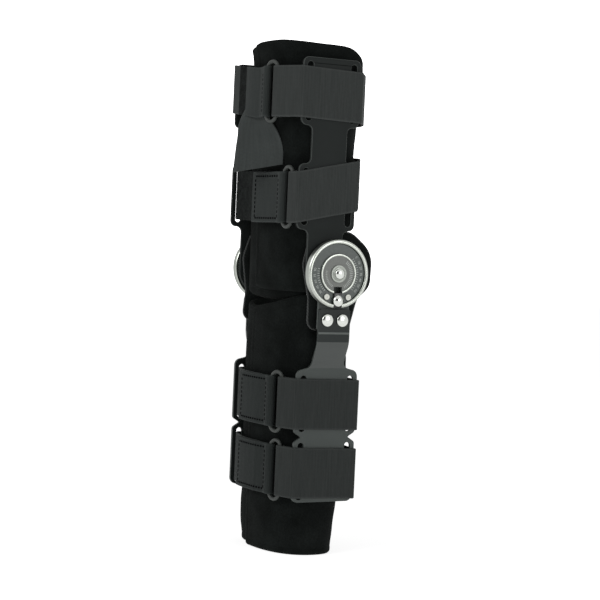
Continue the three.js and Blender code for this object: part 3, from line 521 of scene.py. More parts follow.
# The bar is cut across where it bends, and its points are moved outwards by the joggle's smoothed ramp
FOOT = {"line": (227, 229), "from": 219, "bend": 192}
JOGGLE = {"z": (196, 217), "out": (0, 10), "ease": 5}
BEND_CUTS = (*range(190, 204, 2), *range(209, 225, 2), *FOOT["line"])
pick(lower_bar)
bpy.ops.object.mode_set(mode="EDIT")
for cut in BEND_CUTS:
    bpy.ops.mesh.select_all(action="SELECT")
    bpy.ops.mesh.bisect(plane_co=(0, 0, cut / 1000), plane_no=(0, 0, 1))
bpy.ops.object.mode_set(mode="OBJECT")
heights = np.arange(0, 300.0)
window = 2 * JOGGLE["ease"] + 1
ramp = np.pad(np.interp(heights, JOGGLE["z"], JOGGLE["out"]), JOGGLE["ease"], mode="edge")
ramp = np.convolve(ramp, np.ones(window) / window, mode="valid")
for vertex in lower_bar.data.vertices:
    vertex.co.x += np.interp(vertex.co.z * 1000, heights, ramp) / 1000

# Painted shade: the faces towards the leg take the black coat, and the foot above the bend takes a darker
# copy of the coat. A painted highlight runs along the crease across the foot, and the bend is rubbed
# glossier; the rest is mid grey
shaded_foot_coat = powder_coat("dark grey powder coat", "#282c2b", "#323635", 0.42, 0.12)
bend_coat = powder_coat("grey powder coat rubbed bright on the bend", "#303533", "#3a3f3d", 0.3, 0.55)
coats = [lower_coat, lower_edge_wear_and_highlight, shaded_foot_coat, upper_coat, bend_coat]
for coat in coats:
    lower_bar.data.materials.append(coat)
for facet in lower_bar.data.polygons:
    height = facet.center.z * 1000
    # Faces towards the leg: painted shade, in the black coat
    if facet.normal.x < -0.5:
        facet.material_index = coats.index(upper_coat)
    # Crease band across the foot: painted highlight, in the paler edge coat
    elif FOOT["line"][0] < height < FOOT["line"][1] and facet.normal.x > 0.5:
        facet.material_index = coats.index(lower_edge_wear_and_highlight)
    # Foot above the bend: painted shade, a darker copy of the coat
    elif height > FOOT["from"]:
        facet.material_index = coats.index(shaded_foot_coat)
    elif height > FOOT["bend"]:
        facet.material_index = coats.index(bend_coat)
tumble(lower_bar, BAR_EDGE)
fit(lower_bar, "lower_bar_lateral", "calf")
fit(inner_copy(lower_bar, "lower_side_bar_medial"), "lower_bar_medial", "calf")

for side, bar in upper_bars.items():
    bar.data.materials.append(upper_coat)
    bar.data.materials.append(upper_edge)
    tumble(bar, BAR_EDGE)
    fit(bar, "upper_bar_" + side, "thigh")
mirror(upper_bars["medial"])


# Condyle pads: soft foam discs sewn into black cloth with a corded edge, one behind each dial.
# They lie on the upper bar and bulge towards the knee, with a raised cushion.
PAD_OUTLINE = [(-24, -57, 9), (23, -57, 8), (31, -26, 12), (46, -12, 16), (47, 22, 26), (22, 42, 22),
               (-24, 42, 20), (-32, 8, 20), (-24, -26, 12)]
PAD = {"inner": 63.0, "outer": 71.1, "edge": 66.9, "cord": 1.1, "turn": -5}
PAD_MIDDLE = np.array([8.0, -8.0])
PAD_RINGS = (1, 0.985, 0.95, 0.9, 0.84, 0.76, 0.66, 0.54, 0.4, 0.25, 0.1)
CUSHION = {"y": 27, "z": -11, "half_y": 15, "half_z": 25, "rise": 1.2}


def even_loop(loop, gap):
    """The closed loop again, with points an even gap apart."""
    line = np.array([*loop, loop[0]])
    along = np.concatenate([[0], np.cumsum(np.hypot(*np.diff(line, axis=0).T))])
    at = np.linspace(0, along[-1], int(along[-1] / gap), endpoint=False)
    return np.stack([np.interp(at, along, line[:, i]) for i in (0, 1)], axis=1)


def condyle_pad(name):
    """A pad of rings that shrink to its middle, over its outer face and then its inner one."""
    rim = even_loop(rounded(PAD_OUTLINE), 3)
    points, faces = [], []
    for side in (0, 1):
        for share in PAD_RINGS[side:]:
            crown = math.sqrt(1 - share ** 6)
            for y, z in PAD_MIDDLE + (rim - PAD_MIDDLE) * share:
                if side == 0:
                    x = PAD["edge"] + (PAD["outer"] - PAD["edge"]) * crown
                else:
                    off = max(abs(y - CUSHION["y"]) / CUSHION["half_y"],
                              abs(z - CUSHION["z"]) / CUSHION["half_z"])
                    x = PAD["edge"] - (PAD["edge"] - PAD["inner"]) * crown
                    x -= CUSHION["rise"] * (1 - smoothstep(off, 0.7, 1.05)) * crown
                points.append((x, y, z + KNEE_Z))
        points.append((points[-1][0], *(PAD_MIDDLE + (0, KNEE_Z))))
    count, deep = len(rim), len(PAD_RINGS)
    outer_rings = list(range(deep))
    inner_rings = [0] + list(range(deep, 2 * deep - 1))
    for rings, centre in ((outer_rings, deep * count), (inner_rings, len(points) - 1)):
        starts = [ring * count + (1 if ring >= deep else 0) for ring in rings]
        for a, b in zip(starts, starts[1:]):
            faces += [(a + i, a + (i + 1) % count, b + (i + 1) % count, b + i) for i in range(count)]
        faces += [(starts[-1] + i, starts[-1] + (i + 1) % count, centre) for i in range(count)]
    made = add_mesh(name, points, faces)
    clean(made, 80)
    return made


def tube(name, path, radius, sides=8):
    """Closed round cord along a loop of points."""
    path = np.array(path, float)
    ahead = np.roll(path, -1, axis=0) - np.roll(path, 1, axis=0)
    ahead /= np.linalg.norm(ahead, axis=1)[:, None]
    out = np.array([1.0, 0, 0])
    points, faces = [], []
    for p, t in zip(path, ahead):
        b = np.cross(t, out)
        for k in range(sides):
            angle = 2 * math.pi * k / sides
            points.append(p + radius * (math.cos(angle) * out + math.sin(angle) * b))
    n = len(path)
    for i in range(n):
        for k in range(sides):
            l, j = (k + 1) % sides, (i + 1) % n
            faces.append((i * sides + k, j * sides + k, j * sides + l, i * sides + l))
    made = add_mesh(name, points, faces)
    clean(made, 80)
    return made


# Edge cord: twill tape sewn over a cord, painted a little paler than the cloth as a highlight along the
# raised edge. Its slant of about 1 mm is drawn at 1.9 mm to show.
cord_tape_with_highlight, tree = new_material("black twill edge tape")
at = node(tree, "TexCoord", {}).outputs["Object"]
twill = node(tree, "TexWave", {"Vector": at, "Scale": 190.0, "Distortion": 0.6}, bands_direction="DIAGONAL")
# The paler tone is a painted highlight of the raised edge
tone = node(tree, "Mix", {0: twill.outputs["Fac"], 6: colour("#1c1e1d"), 7: colour("#343736")},
            data_type="RGBA")
relief = node(tree, "Bump", {"Height": twill.outputs["Fac"], "Strength": 0.4, "Distance": 0.0003})
finish_material(tree, Base_Color=tone.outputs[2], Roughness=0.8, Normal=relief.outputs[0],
                Sheen_Weight=0.15, Sheen_Roughness=0.4)

pad = condyle_pad("knee_pad_lateral")
pad.data.materials.append(loop_cloth)
rim_path = [(PAD["edge"], y, z + KNEE_Z) for y, z in even_loop(rounded(PAD_OUTLINE), 2.5)]
pad_cord = tube("knee_pad_cord_lateral", rim_path, PAD["cord"])
pad_cord.data.materials.append(cord_tape_with_highlight)
pads = {"lateral": (pad, pad_cord),
        "medial": (inner_copy(pad, "knee_pad_medial"), inner_copy(pad_cord, "knee_pad_cord_medial"))}
pivot_place = metres(0, 0, KNEE_Z)
pad_turn = Matrix.Rotation(math.radians(PAD["turn"]), 4, "X")
for piece in pads["medial"]:
    piece.data.transform(Matrix.Translation(pivot_place) @ pad_turn @ Matrix.Translation(-pivot_place))
for side, (cushion, edge_cord) in pads.items():
    fit(cushion, "condyle_pad_" + side, "thigh")
    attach(edge_cord, "thigh")


# Hinge plates: 2 mm steel stampings behind the dials, powder-coated as the lower bars are and
# riveted to their feet. Each is a disc with a straight tongue.
PLATE = {"radius": 31, "tongue": 18, "low": 232, "inner": 74.7, "wall": 2, "edge": 0.4}
reach = math.asin(PLATE["tongue"] / PLATE["radius"])
arc = [-math.pi / 2 + reach + (2 * math.pi - 2 * reach) * i / 72 for i in range(73)]
outline = [(-PLATE["tongue"], PLATE["low"]), (PLATE["tongue"], PLATE["low"])]
outline += [(PLATE["radius"] * math.cos(a), KNEE_Z + PLATE["radius"] * math.sin(a)) for a in arc]
hinge_plate = blank("hinge_backplate_lateral", [outline, ring_of(0, KNEE_Z, PIVOT_HOLE), *stud_holes],
                    PLATE["inner"], PLATE["wall"])
hinge_plate.data.materials.append(lower_coat)
hinge_plate.data.materials.append(lower_edge_wear_and_highlight)
tumble(hinge_plate, PLATE["edge"])
fit(hinge_plate, "hinge_plate_lateral", "calf")
fit(inner_copy(hinge_plate, "hinge_backplate_medial"), "hinge_plate_medial", "calf")


# Dial: a turned and plated steel cup with a wide rim, notched below for the quick lock. A grey
# moulded scale disc lies in it, and a smaller stop disc with a raised bright lip on that.
TURNED_SHARP = 32
NOTCH = {"x": 85, "top": 13, "size": (30, 9.5, 24)}
CUP_SIDE = {"radius": 34.2, "x": 83.8}


def turned(name, profile, y, z, steps=96):
    """Spins a profile of (radius, distance from the leg's middle) round an axis along X."""
    made = add_mesh(name, [(x, y, z + radius) for radius, x in profile], [])
    made.data.edges.add(len(profile) - 1)
    made.data.edges.foreach_set("vertices", [v for i in range(len(profile) - 1) for v in (i, i + 1)])
    bpy.ops.object.mode_set(mode="EDIT")
    bpy.ops.mesh.select_all(action="SELECT")
    bpy.ops.mesh.spin(steps=steps, angle=2 * math.pi, center=metres(0, y, z), axis=(1, 0, 0))
    bpy.ops.object.mode_set(mode="OBJECT")
    clean(made, TURNED_SHARP)
    return made


def block(size, place):
    """A cube drawn out to a size and moved to its place, alone in the selection and active."""
    bpy.ops.object.select_all(action="DESELECT")
    bpy.ops.mesh.primitive_cube_add(size=1)
    made = bpy.context.object
    drawn_out = Matrix.Diagonal((*[side / 1000 for side in size], 1))
    made.data.transform(Matrix.Translation(metres(*place)) @ drawn_out)
    return made


def notch(piece):
    """Cuts the way of the quick lock, from inside the stop disc towards the rim."""
    cutter = block(NOTCH["size"], (NOTCH["x"], 0, KNEE_Z - NOTCH["top"] - NOTCH["size"][2] / 2))
    apply_modifier(piece, "BOOLEAN", object=cutter, operation="DIFFERENCE", solver="EXACT")
    bpy.data.objects.remove(cutter)
    pick(piece)
    bpy.ops.object.shade_smooth_by_angle(angle=math.radians(TURNED_SHARP))


# Plated steel: bright nickel over turned steel, with the lathe's rings still in it, 0.5 mm apart
# (drawn at 0.9 mm), and fine smears that break up the gloss.
def plated(name, code, roughness, rings):
    steel, tree = new_material(name)
    at = node(tree, "TexCoord", {}).outputs["Object"]
    centred = node(tree, "Mapping", {"Vector": at, "Location": (0, -KNEE_Y / 1000, -KNEE_Z / 1000),
                                     "Scale": (0, 1, 1)})
    radius = node(tree, "VectorMath", {0: centred.outputs[0]}, operation="LENGTH")
    spun = node(tree, "CombineXYZ", {"X": radius.outputs["Value"]})
    lathe = node(tree, "TexNoise", {"Vector": spun.outputs[0], "Scale": 1100.0, "Detail": 2.0})
    smear = node(tree, "TexNoise", {"Vector": at, "Scale": 120.0, "Detail": 4.0})
    rough = node(tree, "MapRange", {"Value": smear.outputs["Fac"], "To Min": roughness - 0.05,
                                    "To Max": roughness + 0.12})
    relief = node(tree, "Bump", {"Height": lathe.outputs["Fac"], "Strength": rings, "Distance": 0.0002})
    finish_material(tree, Base_Color=colour(code), Metallic=1.0, Roughness=rough.outputs[0],
                    Normal=relief.outputs[0])
    return steel


rim_steel = plated("nickel plated turned steel", "#b6bab3", 0.22, 0.35)
side_steel = plated("dull steel of the cup's side", "#a0a49e", 0.36, 0.35)
washer_steel = plated("brushed steel washer", "#8f938d", 0.34, 0.6)
rivet_steel = plated("polished nickel rivet", "#d3d6d1", 0.12, 0.0)
pin_steel = plated("satin zinc pin", "#b9bbb4", 0.45, 0.1)


# Moulded plastic: filled nylon with a fine mottle of 1.7 to 2.4 mm, semi-gloss under a clear skin.
def dial_plastic(name, dark, light, grain, gloss=0.35):
    plastic, tree = new_material(name)
    at = node(tree, "TexCoord", {}).outputs["Object"]
    speck = node(tree, "TexNoise", {"Vector": at, "Scale": grain, "Detail": 3.0, "Roughness": 0.6})
    tone = node(tree, "Mix", {0: speck.outputs["Fac"], 6: colour(dark), 7: colour(light)},
                data_type="RGBA")
    relief = node(tree, "Bump", {"Height": speck.outputs["Fac"], "Strength": 0.2, "Distance": 0.0002})
    finish_material(tree, Base_Color=tone.outputs[2], Roughness=0.42, Normal=relief.outputs[0],
                    Coat_Weight=gloss, Coat_Roughness=0.12)
    return plastic


scale_plastic = dial_plastic("grey moulded scale plastic", "#3b423f", "#505753", 420.0, 0.15)
stop_plastic = dial_plastic("grey stop disc plastic", "#585b57", "#6c6f6a", 520.0)
black_plastic = dial_plastic("black moulded nylon", "#0f1010", "#1b1c1c", 600.0)

housing = turned("dial_cup_lateral", rounded([
    (4.6, 77, 0), (33.9, 77, 0), (34.5, 77.6, 0), (34.5, 83.6, 1.2), (33.2, 85, 1.2), (31.4, 85, 0.8),
    (30.5, 84.2, 0.6), (30.5, 78.5, 0.4), (4.6, 78.5, 0)], 4) + [(4.6, 77)], 0, KNEE_Z)
face = turned("dial_scale_lateral", [
    (4.6, 78.8), (30.0, 78.8), (30.2, 79.0), (30.2, 82.3), (30.0, 82.5), (4.6, 82.5), (4.6, 78.8)],
    0, KNEE_Z)
disc = turned("stop_dial_lateral", [
    (4.6, 82.8), (19.8, 82.8), (20.0, 83.0), (20.0, 83.7), (4.6, 83.7), (4.6, 82.8)], 0, KNEE_Z)
lip = turned("stop_dial_lip_lateral", rounded([
    (18.1, 83.72, 0), (20.1, 83.72, 0), (20.1, 84.7, 0.5), (18.1, 84.7, 0.5)], 4) + [(18.1, 83.72)],
    0, KNEE_Z)
for piece, finish in ((housing, rim_steel), (face, scale_plastic), (disc, stop_plastic), (lip, rim_steel)):
    notch(piece)
    piece.data.materials.append(finish)


def off_axis(facet):
    """Distance of a face's middle from the knee's axis."""
    return (facet.center * 1000 - Vector((facet.center.x * 1000, KNEE_Y, KNEE_Z))).length


housing.data.materials.append(side_steel)
for facet in housing.data.polygons:
    if off_axis(facet) > CUP_SIDE["radius"] and facet.center.x * 1000 < CUP_SIDE["x"]:
        facet.material_index = 1

for piece, cad, slot in ((housing, "dial_housing", "bright"), (face, "dial_face", "dial"),
                         (disc, "stop_disc", "stop_disc")):
    fit(piece, cad + "_lateral", "calf")
    fit(inner_copy(piece, piece.name.replace("lateral", "medial")), cad + "_medial", "calf")
for piece in (lip, inner_copy(lip, "stop_dial_lip_medial")):
    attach(piece, "calf")


# Scale marks: plain numbers and ticks, moulded 0.15 mm proud of the scale disc and of the stop disc
# and a little paler than both.
mark_paint = dial_plastic("pale moulded marks", "#9aa09b", "#b3b8b2", 500.0)
NUMBERS = {40: "0", 27: "10", 14: "20", 1: "30", -12: "40", -25: "50", -38: "60",
           172: "90", 185: "75", 198: "60", 211: "45", 224: "30"}
SCALE_TOP, STOP_TOP = 82.5, 83.7
NUMBER = {"size": 3.6, "radius": 26.6, "rise": 0.15}
TICK = {"half_width": 0.3, "sunk": -0.05}
# Angle, inner and outer end, and the face that the tick stands on
TICKS = [(angle, 21.2, 23.6, SCALE_TOP) for angle in (*range(-42, 48, 6), *range(168, 232, 6))]
TICKS += [(angle, 13, 16.4, STOP_TOP) for angle in range(-60, 58, 7)]
TICKS += [(angle, 13, 15, STOP_TOP) for angle in range(170, 242, 7)]


def on_dial(degrees, radius, seat):
    """Place on a dial where text reads clockwise with its head outwards."""
    c, s = math.cos(math.radians(degrees)), math.sin(math.radians(degrees))
    turned_up = Matrix(((0, 0, 1), (s, c, 0), (-c, s, 0))).to_4x4()
    return Matrix.Translation(metres(seat, radius * c, KNEE_Z + radius * s)) @ turned_up


points, faces = [], []
half = TICK["half_width"]
for degrees, low, high, seat in TICKS:
    place = on_dial(degrees, 0, seat)
    first = len(points)
    for rise in (TICK["sunk"], NUMBER["rise"]):
        for x, y in ((-half, low), (half, low), (half, high), (-half, high)):
            points.append(place @ (Vector((x, y, rise)) / 1000) * 1000 - Vector((0, KNEE_Y, 0)))
    faces += [tuple(first + i for i in quad) for quad in (
        (3, 2, 1, 0), (4, 5, 6, 7), (0, 1, 5, 4), (1, 2, 6, 5), (2, 3, 7, 6), (3, 0, 4, 7))]
marks = add_mesh("dial_marks_lateral", points, faces)
for degrees, text in NUMBERS.items():
    bpy.ops.object.select_all(action="DESELECT")
    bpy.ops.object.text_add()
    number = bpy.context.object
    number.data.body = text
    number.data.size = NUMBER["size"] / 1000
    number.data.extrude = NUMBER["rise"] / 1000
    number.data.resolution_u = 3
    number.data.align_x = number.data.align_y = "CENTER"
    bpy.ops.object.convert(target="MESH")
    number = bpy.context.object
    number.data.transform(on_dial(degrees, NUMBER["radius"], SCALE_TOP))
    number.select_set(True)
    marks.select_set(True)
    bpy.context.view_layer.objects.active = marks
    bpy.ops.object.join()
marks.data.materials.clear()
marks.data.materials.append(mark_paint)
inner_marks = inner_copy(marks, "dial_marks_medial")
inner_marks.data.transform(Matrix.Translation((0, KNEE_Y / 1000, 0)) @ Matrix.Scale(-1, 4, (0, 1, 0))
                           @ Matrix.Translation((0, -KNEE_Y / 1000, 0)))
inner_marks.data.flip_normals()
for piece in (marks, inner_marks):
    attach(piece, "calf")


# Rivets and pins: solid nickel-plated heads. The pivot sits on a stepped washer, the bar rivets
# are low domes, and the stop pins are plain satin studs in their holes.
WASHER_FROM = 5.45
PIN = {"radius": 26.4, "angle": 28}


def dome(radius, seat, tip, flat=0.22):
    """Profile of a round head: a short upright side and a quarter of an ellipse."""
    rows = [(radius, seat), (radius, seat + (tip - seat) * flat)]
    for i in range(1, 9):
        angle = math.pi / 2 * i / 8
        rows.append((radius * math.cos(angle), seat + (tip - seat) * (flat + (1 - flat) * math.sin(angle))))
    return rows


pivot = turned("knee_pivot_lateral", [
    (0, 71.6), (4, 71.6), (4, 84.1), (8.5, 84.1), (8.8, 84.3), (8.8, 84.7), (8.5, 84.95), (6.9, 84.95),
    (6.7, 85.3), (6.3, 85.5), *dome(5.4, 85.5, 89)], 0, KNEE_Z, 64)
pivot.data.materials.append(rivet_steel)
pivot.data.materials.append(washer_steel)
for facet in pivot.data.polygons:
    if off_axis(facet) > WASHER_FROM:
        facet.material_index = 1
fit(pivot, "pivot_rivet_lateral", "calf")
fit(inner_copy(pivot, "knee_pivot_medial"), "pivot_rivet_medial", "calf")

for place, side in (("front", -1), ("rear", 1)):
    stud = turned(f"bar_stud_{place}_lateral", [
        (0, 74.7), (2.6, 74.7), (2.6, 80.3), *dome(6.5, 80.3, 83.3)], side * STUD["y"], STUD["z"], 48)
    stud.data.materials.append(rivet_steel)
    fit(stud, f"bar_rivet_{place}_lateral", "calf")
    fit(inner_copy(stud, f"bar_stud_{place}_medial"), f"bar_rivet_{place}_medial", "calf")

for place, side in (("front", -1), ("rear", 1)):
    angle = math.radians(PIN["angle"])
    stud = turned(f"dial_pin_{place}_lateral", [
        (0, 82.8), (3.1, 82.8), (3.1, 84.0), (2.8, 84.3), (1.2, 84.3), (0.9, 84.1), (0, 84.1)],
        side * PIN["radius"] * math.sin(angle), KNEE_Z - PIN["radius"] * math.cos(angle), 40)
    stud.data.materials.append(pin_steel)
    fit(stud, f"stop_pin_{place}_lateral", "calf")
    fit(inner_copy(stud, f"dial_pin_{place}_medial"), f"stop_pin_{place}_medial", "calf")


# Quick lock: a black moulded nylon slide that runs in the dial's notch, with a conical thumb button
# of plated steel fixed on it.
SLIDE = {"size": (6.1, 8.9, 14.5), "x": 81.95, "below": 26.25, "edge": 0.9}
THUMB_BELOW = 27
slide = block(SLIDE["size"], (SLIDE["x"], 0, KNEE_Z - SLIDE["below"]))
slide.name = slide.data.name = "lock_slide_lateral"
slide.data.materials.append(black_plastic)
tumble(slide, SLIDE["edge"])
button = turned("lock_thumb_lateral", [
    (0, 85.3), (5.5, 85.3), (5.75, 85.5), (5.75, 86.1), (5.5, 86.5), (2.9, 88.7), (2.2, 89.05), (0, 89.1)],
    0, KNEE_Z - THUMB_BELOW, 48)
button.data.materials.append(rivet_steel)
for side in ("lateral", "medial"):
    for piece, cad, slot in ((slide, "lock_slider_", "lock"), (button, "lock_button_", "bright")):
        made = piece if side == "lateral" else inner_copy(piece, piece.name.replace("lateral", "medial"))
        fit(made, cad + side, "lock_" + side)


# Straps: 50 mm nylon webbing with loop pile. Each starts folded under itself at its wire loop,
# runs over the outer bar and round the back, and comes in at the inner bar to the front.
GAP = 0.3
WEB_HALF = 25.7
WEB_WALL = 2.0
SKIN = GAP + WEB_WALL / 2
LAYER = WEB_WALL + 0.4
FOLD = 3.4
FOLD_BLEND = 3.0
LOOP_BAR = 6.5
UNDER = {"length": 20, "clear": 5}
TAB_ROUND = 6
BACK_Y = 50
BACK_ROUND = 30
# Where a strap goes in through the inner bar's front slot, and where it lies down in front
SLIT = {"outside": 0.6, "inside": -4.4, "through": 3, "round": 8}
FRONT = {"from": -34, "before_loop": 16}


def finer(line, gap=5.0):
    """The same line with points added so that no two are further apart than the gap."""
    points = [line[0]]
    for a, b in zip(line, line[1:]):
        parts = max(1, math.ceil(np.hypot(*(b - a)) / gap))
        points += [a + (b - a) * i / parts for i in range(1, parts + 1)]
    return np.array(points)


def sideways(line):
    """Unit vectors to the left of a line at each of its points."""
    ahead = np.gradient(line, axis=0)
    ahead /= np.linalg.norm(ahead, axis=1)[:, None]
    return np.stack([-ahead[:, 1], ahead[:, 0]], axis=1)


def loop_frame(strap, bar):
    """A wire loop's middle and direction, points along and out from it, and the bar's distance."""
    rim = np.array([bar["inner"] + BAR_WALL + SKIN, bar["front"] - SKIN])
    middle = np.array(strap["ring"], float)
    straight = (rim - middle) / np.linalg.norm(rim - middle)
    outward = np.array([straight[1], -straight[0]])
    along = rim - (middle + outward * FOLD)
    along /= np.linalg.norm(along)
    out = np.array([along[1], -along[0]])

    def at(length, height, radius=0.0):
        return (*(middle + along * length + out * height), radius)

    return middle, along, at, np.linalg.norm(rim - middle)


def level(strap, x, y):
    """Height of a strap's middle, which may rise to the back and to the inner side."""
    return strap["z"] + strap["rise"] * (y - strap["ring"][1]) + strap["lean"] * max(-x, 0)


def strap_line(strap, bar, form):
    """A strap's way seen from above, from its folded end at the loop to its end in front."""
    _, _, at, reach = loop_frame(strap, bar)
    top = level(strap, 0, bar["front"]) + WEB_HALF
    back_top = level(strap, 0, BACK_Y) + WEB_HALF
    outside = bar["inner"] + BAR_WALL + SKIN
    under = FOLD - LAYER
    corners = [at(min(reach - UNDER["clear"], LOOP_BAR + UNDER["length"]), under),
               at(LOOP_BAR + 2 * FOLD_BLEND, under, FOLD_BLEND),
               at(LOOP_BAR + WEB_WALL, -FOLD, FOLD_BLEND - GAP),
               at(LOOP_BAR - FOLD, -FOLD, FOLD), at(LOOP_BAR - FOLD, FOLD, FOLD),
               (outside, bar["front"] - SKIN, SKIN), (outside, bar["rear"] + SKIN, SKIN)]
    half_width = np.interp(back_top, form[:, 0], form[:, 1]) + SKIN + GAP
    half_depth = np.interp(back_top, form[:, 0], form[:, 2]) + SKIN + GAP
    for angle in np.radians(np.linspace(bar["touch"], 180 - bar["touch"], 7)):
        corners.append((half_width * signed_power(math.cos(angle), 2 / FORM_POWER),
                        half_depth * signed_power(math.sin(angle), 2 / FORM_POWER), BACK_ROUND))
    corners.append((-outside, bar["rear"] + SKIN, SKIN))
    if strap["rim"]:
        corners.append((-outside, bar["front"] - SKIN, SKIN))
    else:
        slot, back = bar["front"] + SLOT["in"], strap["slit"]
        corners.append((-outside, slot + SLIT["outside"] + back, FOLD_BLEND - GAP))
        corners.append((SLIT["through"] - bar["inner"], slot + SLIT["inside"] + back / 3, SLIT["round"]))
    end = min(strap["ring"][0] - FRONT["before_loop"], strap["bend"])
    for x in np.linspace(FRONT["from"], end, 6):
        corners.append((x, -front_depth(form, x, top) - SKIN - GAP / 2, 0))
    return finer(open_rounded(corners))


def open_rounded(corners, steps=7):
    """rounded() for an open line: its two ends stay sharp."""
    sharp = [(*corners[0][:2], 0), *corners[1:-1], (*corners[-1][:2], 0)]
    points = rounded(sharp, steps)
    kept = [np.array(points[0], float)]
    for p in points[1:]:
        if np.hypot(*(np.array(p) - kept[-1])) > 0.1:
            kept.append(np.array(p, float))
    return np.array(kept)


def tab_line(strap, bar, form):
    """Two layers of webbing from the tab's inner end round the loop's inner wire and back."""
    middle, along, _, _ = loop_frame(strap, bar)
    top = level(strap, 0, bar["front"]) + WEB_HALF
    lift = GAP * 3 + WEB_WALL * 1.5 + LAYER / 2 + strap["under"]
    rows = [(x, -front_depth(form, x, top) - lift) for x in np.linspace(strap["tab"], strap["bend"], 5)]
    wire = middle - along * LOOP_BAR
    ahead = wire - np.array(rows[-1])
    ahead /= np.linalg.norm(ahead)
    out = np.array([ahead[1], -ahead[0]])
    rows = np.array([*rows, wire - ahead * 3 * FOLD_BLEND])
    left = sideways(rows)

    def corner(length, height, radius):
        return (*(wire + ahead * length + out * height), radius)

    line = [(*p, TAB_ROUND) for p in rows - left * LAYER / 2]
    line += [corner(GAP - FOLD_BLEND, FOLD, FOLD_BLEND), corner(FOLD, FOLD, FOLD),
             corner(FOLD, -FOLD, FOLD), corner(GAP - FOLD_BLEND, -FOLD, FOLD_BLEND)]
    line += [(*p, TAB_ROUND) for p in (rows + left * LAYER / 2)[::-1]]
    return finer(open_rounded(line), 3.0)


# Section of the webbing across its width: a plain body with thicker woven edges, half of it
WEB_SECTION = [(-25.7, 0), (-25.5, 0.6), (-25, 0.92), (-24.2, 1.0), (-23.4, 0.95), (-16, 0.96), (-8, 0.97),
               (0, 0.97), (8, 0.97), (16, 0.96), (23.4, 0.95), (24.2, 1.0), (25, 0.92), (25.5, 0.6),
               (25.7, 0)]
WEB_LOOP = WEB_SECTION + [(a, -b) for a, b in WEB_SECTION[-2:0:-1]]
WAVER = {"length": 45, "width": 0.3, "per_seed": 7.3}


def lay_band(name, rows, seed):
    """Webbing along rows of (middle, across, out), with its lie kept for the weave."""
    points, lies, faces = [], [], []
    gone = 0.0
    for i, (middle, across, out) in enumerate(rows):
        if i:
            gone += np.linalg.norm(middle - rows[i - 1][0])
        drift = Vector((gone / WAVER["length"], seed * WAVER["per_seed"], 0))
        waver = noise.noise(drift) * WAVER["width"]
        for a, b in WEB_LOOP:
            points.append(middle + across * (a + waver * abs(a) / WEB_HALF) + out * b)
            lies.append((gone / 1000, a / 1000, b / 1000))
    around = len(WEB_LOOP)
    for i in range(len(rows) - 1):
        for j in range(around):
            k = (j + 1) % around
            faces.append((i * around + j, i * around + k, (i + 1) * around + k, (i + 1) * around + j))
    faces.append(tuple(range(around)))
    faces.append(tuple(range(len(points) - 1, len(points) - 1 - around, -1)))
    made = add_mesh(name, points, faces)
    lie = made.data.attributes.new("lie", "FLOAT_VECTOR", "POINT")
    lie.data.foreach_set("vector", [v for row in lies for v in row])
    clean(made, 70)
    return made, gone / 1000


def upright_rows(line, strap):
    """Rows of an upright band along a line seen from above."""
    left = sideways(line)
    up = np.array([0.0, 0, 1])
    rows = []
    for (x, y), (nx, ny) in zip(line, left):
        rows.append((np.array([x, y, level(strap, x, y)]), up, np.array([nx, ny, 0.0])))
    return rows


# Nylon webbing: ribbed across every 1.1 mm (drawn at 1.5 mm to show), with paler woven edges and
# streaks where single threads take the dye differently. Dull, with a little lint. The streaks lie
# across the straps and tabs, and along the free end.
def webbing(name, dark, light, edge, streaks=(620, 26, 1)):
    cloth, tree = new_material(name)
    lie = node(tree, "Attribute", {}, attribute_name="lie").outputs["Vector"]
    rib = node(tree, "TexWave", {"Vector": lie, "Scale": 0.314 / 0.0015, "Distortion": 0.4,
                                 "Detail Scale": 40.0}, bands_direction="X")
    weft = node(tree, "TexWave", {"Vector": lie, "Scale": 0.314 / 0.0012, "Distortion": 0.3},
                bands_direction="Y")
    weave = node(tree, "Math", {0: rib.outputs["Fac"], 1: weft.outputs["Fac"]}, operation="MULTIPLY")
    stretched = node(tree, "Mapping", {"Vector": lie, "Scale": streaks})
    streak = node(tree, "TexNoise", {"Vector": stretched.outputs[0], "Scale": 1.0, "Detail": 2.0})
    lint = node(tree, "TexNoise", {"Vector": lie, "Scale": 900.0, "Detail": 2.0})
    parts = node(tree, "SeparateXYZ", {"Vector": lie})
    off = node(tree, "Math", {0: parts.outputs["Y"]}, operation="ABSOLUTE")
    selvedge = node(tree, "MapRange", {"Value": off.outputs[0], "From Min": 0.0236, "From Max": 0.0246})
    share = node(tree, "Math", {0: streak.outputs["Fac"], 1: 0.5, 2: 0.06}, operation="MULTIPLY_ADD")
    both = node(tree, "Math", {0: weave.outputs[0], 1: 0.38, 2: share.outputs[0]}, operation="MULTIPLY_ADD")
    tone = node(tree, "Mix", {0: both.outputs[0], 6: colour(dark), 7: colour(light)}, data_type="RGBA")
    faded = node(tree, "Math", {0: selvedge.outputs[0], 1: 0.35}, operation="MULTIPLY")
    edged = node(tree, "Mix", {0: faded.outputs[0], 6: tone.outputs[2], 7: colour(edge)}, data_type="RGBA")
    height = node(tree, "Math", {0: lint.outputs["Fac"], 1: 0.5, 2: weave.outputs[0]},
                  operation="MULTIPLY_ADD")
    relief = node(tree, "Bump", {"Height": height.outputs[0], "Strength": 0.45, "Distance": 0.0004})
    finish_material(tree, Base_Color=edged.outputs[2], Roughness=0.82, Normal=relief.outputs[0],
                    Sheen_Weight=0.02, Sheen_Roughness=0.4, Specular_IOR_Level=0.12)
    return cloth


thigh_web = webbing("dark grey nylon webbing", "#262928", "#434645", "#484b4a")
# The calf straps take a darker copy of the webbing: painted shade for the light falling from above
shaded_calf_web = webbing("darker grey nylon webbing", "#212423", "#3b3e3d", "#404342")
thigh_tab_web = webbing("dark grey tab webbing", "#1f2322", "#383c3b", "#3e4241")
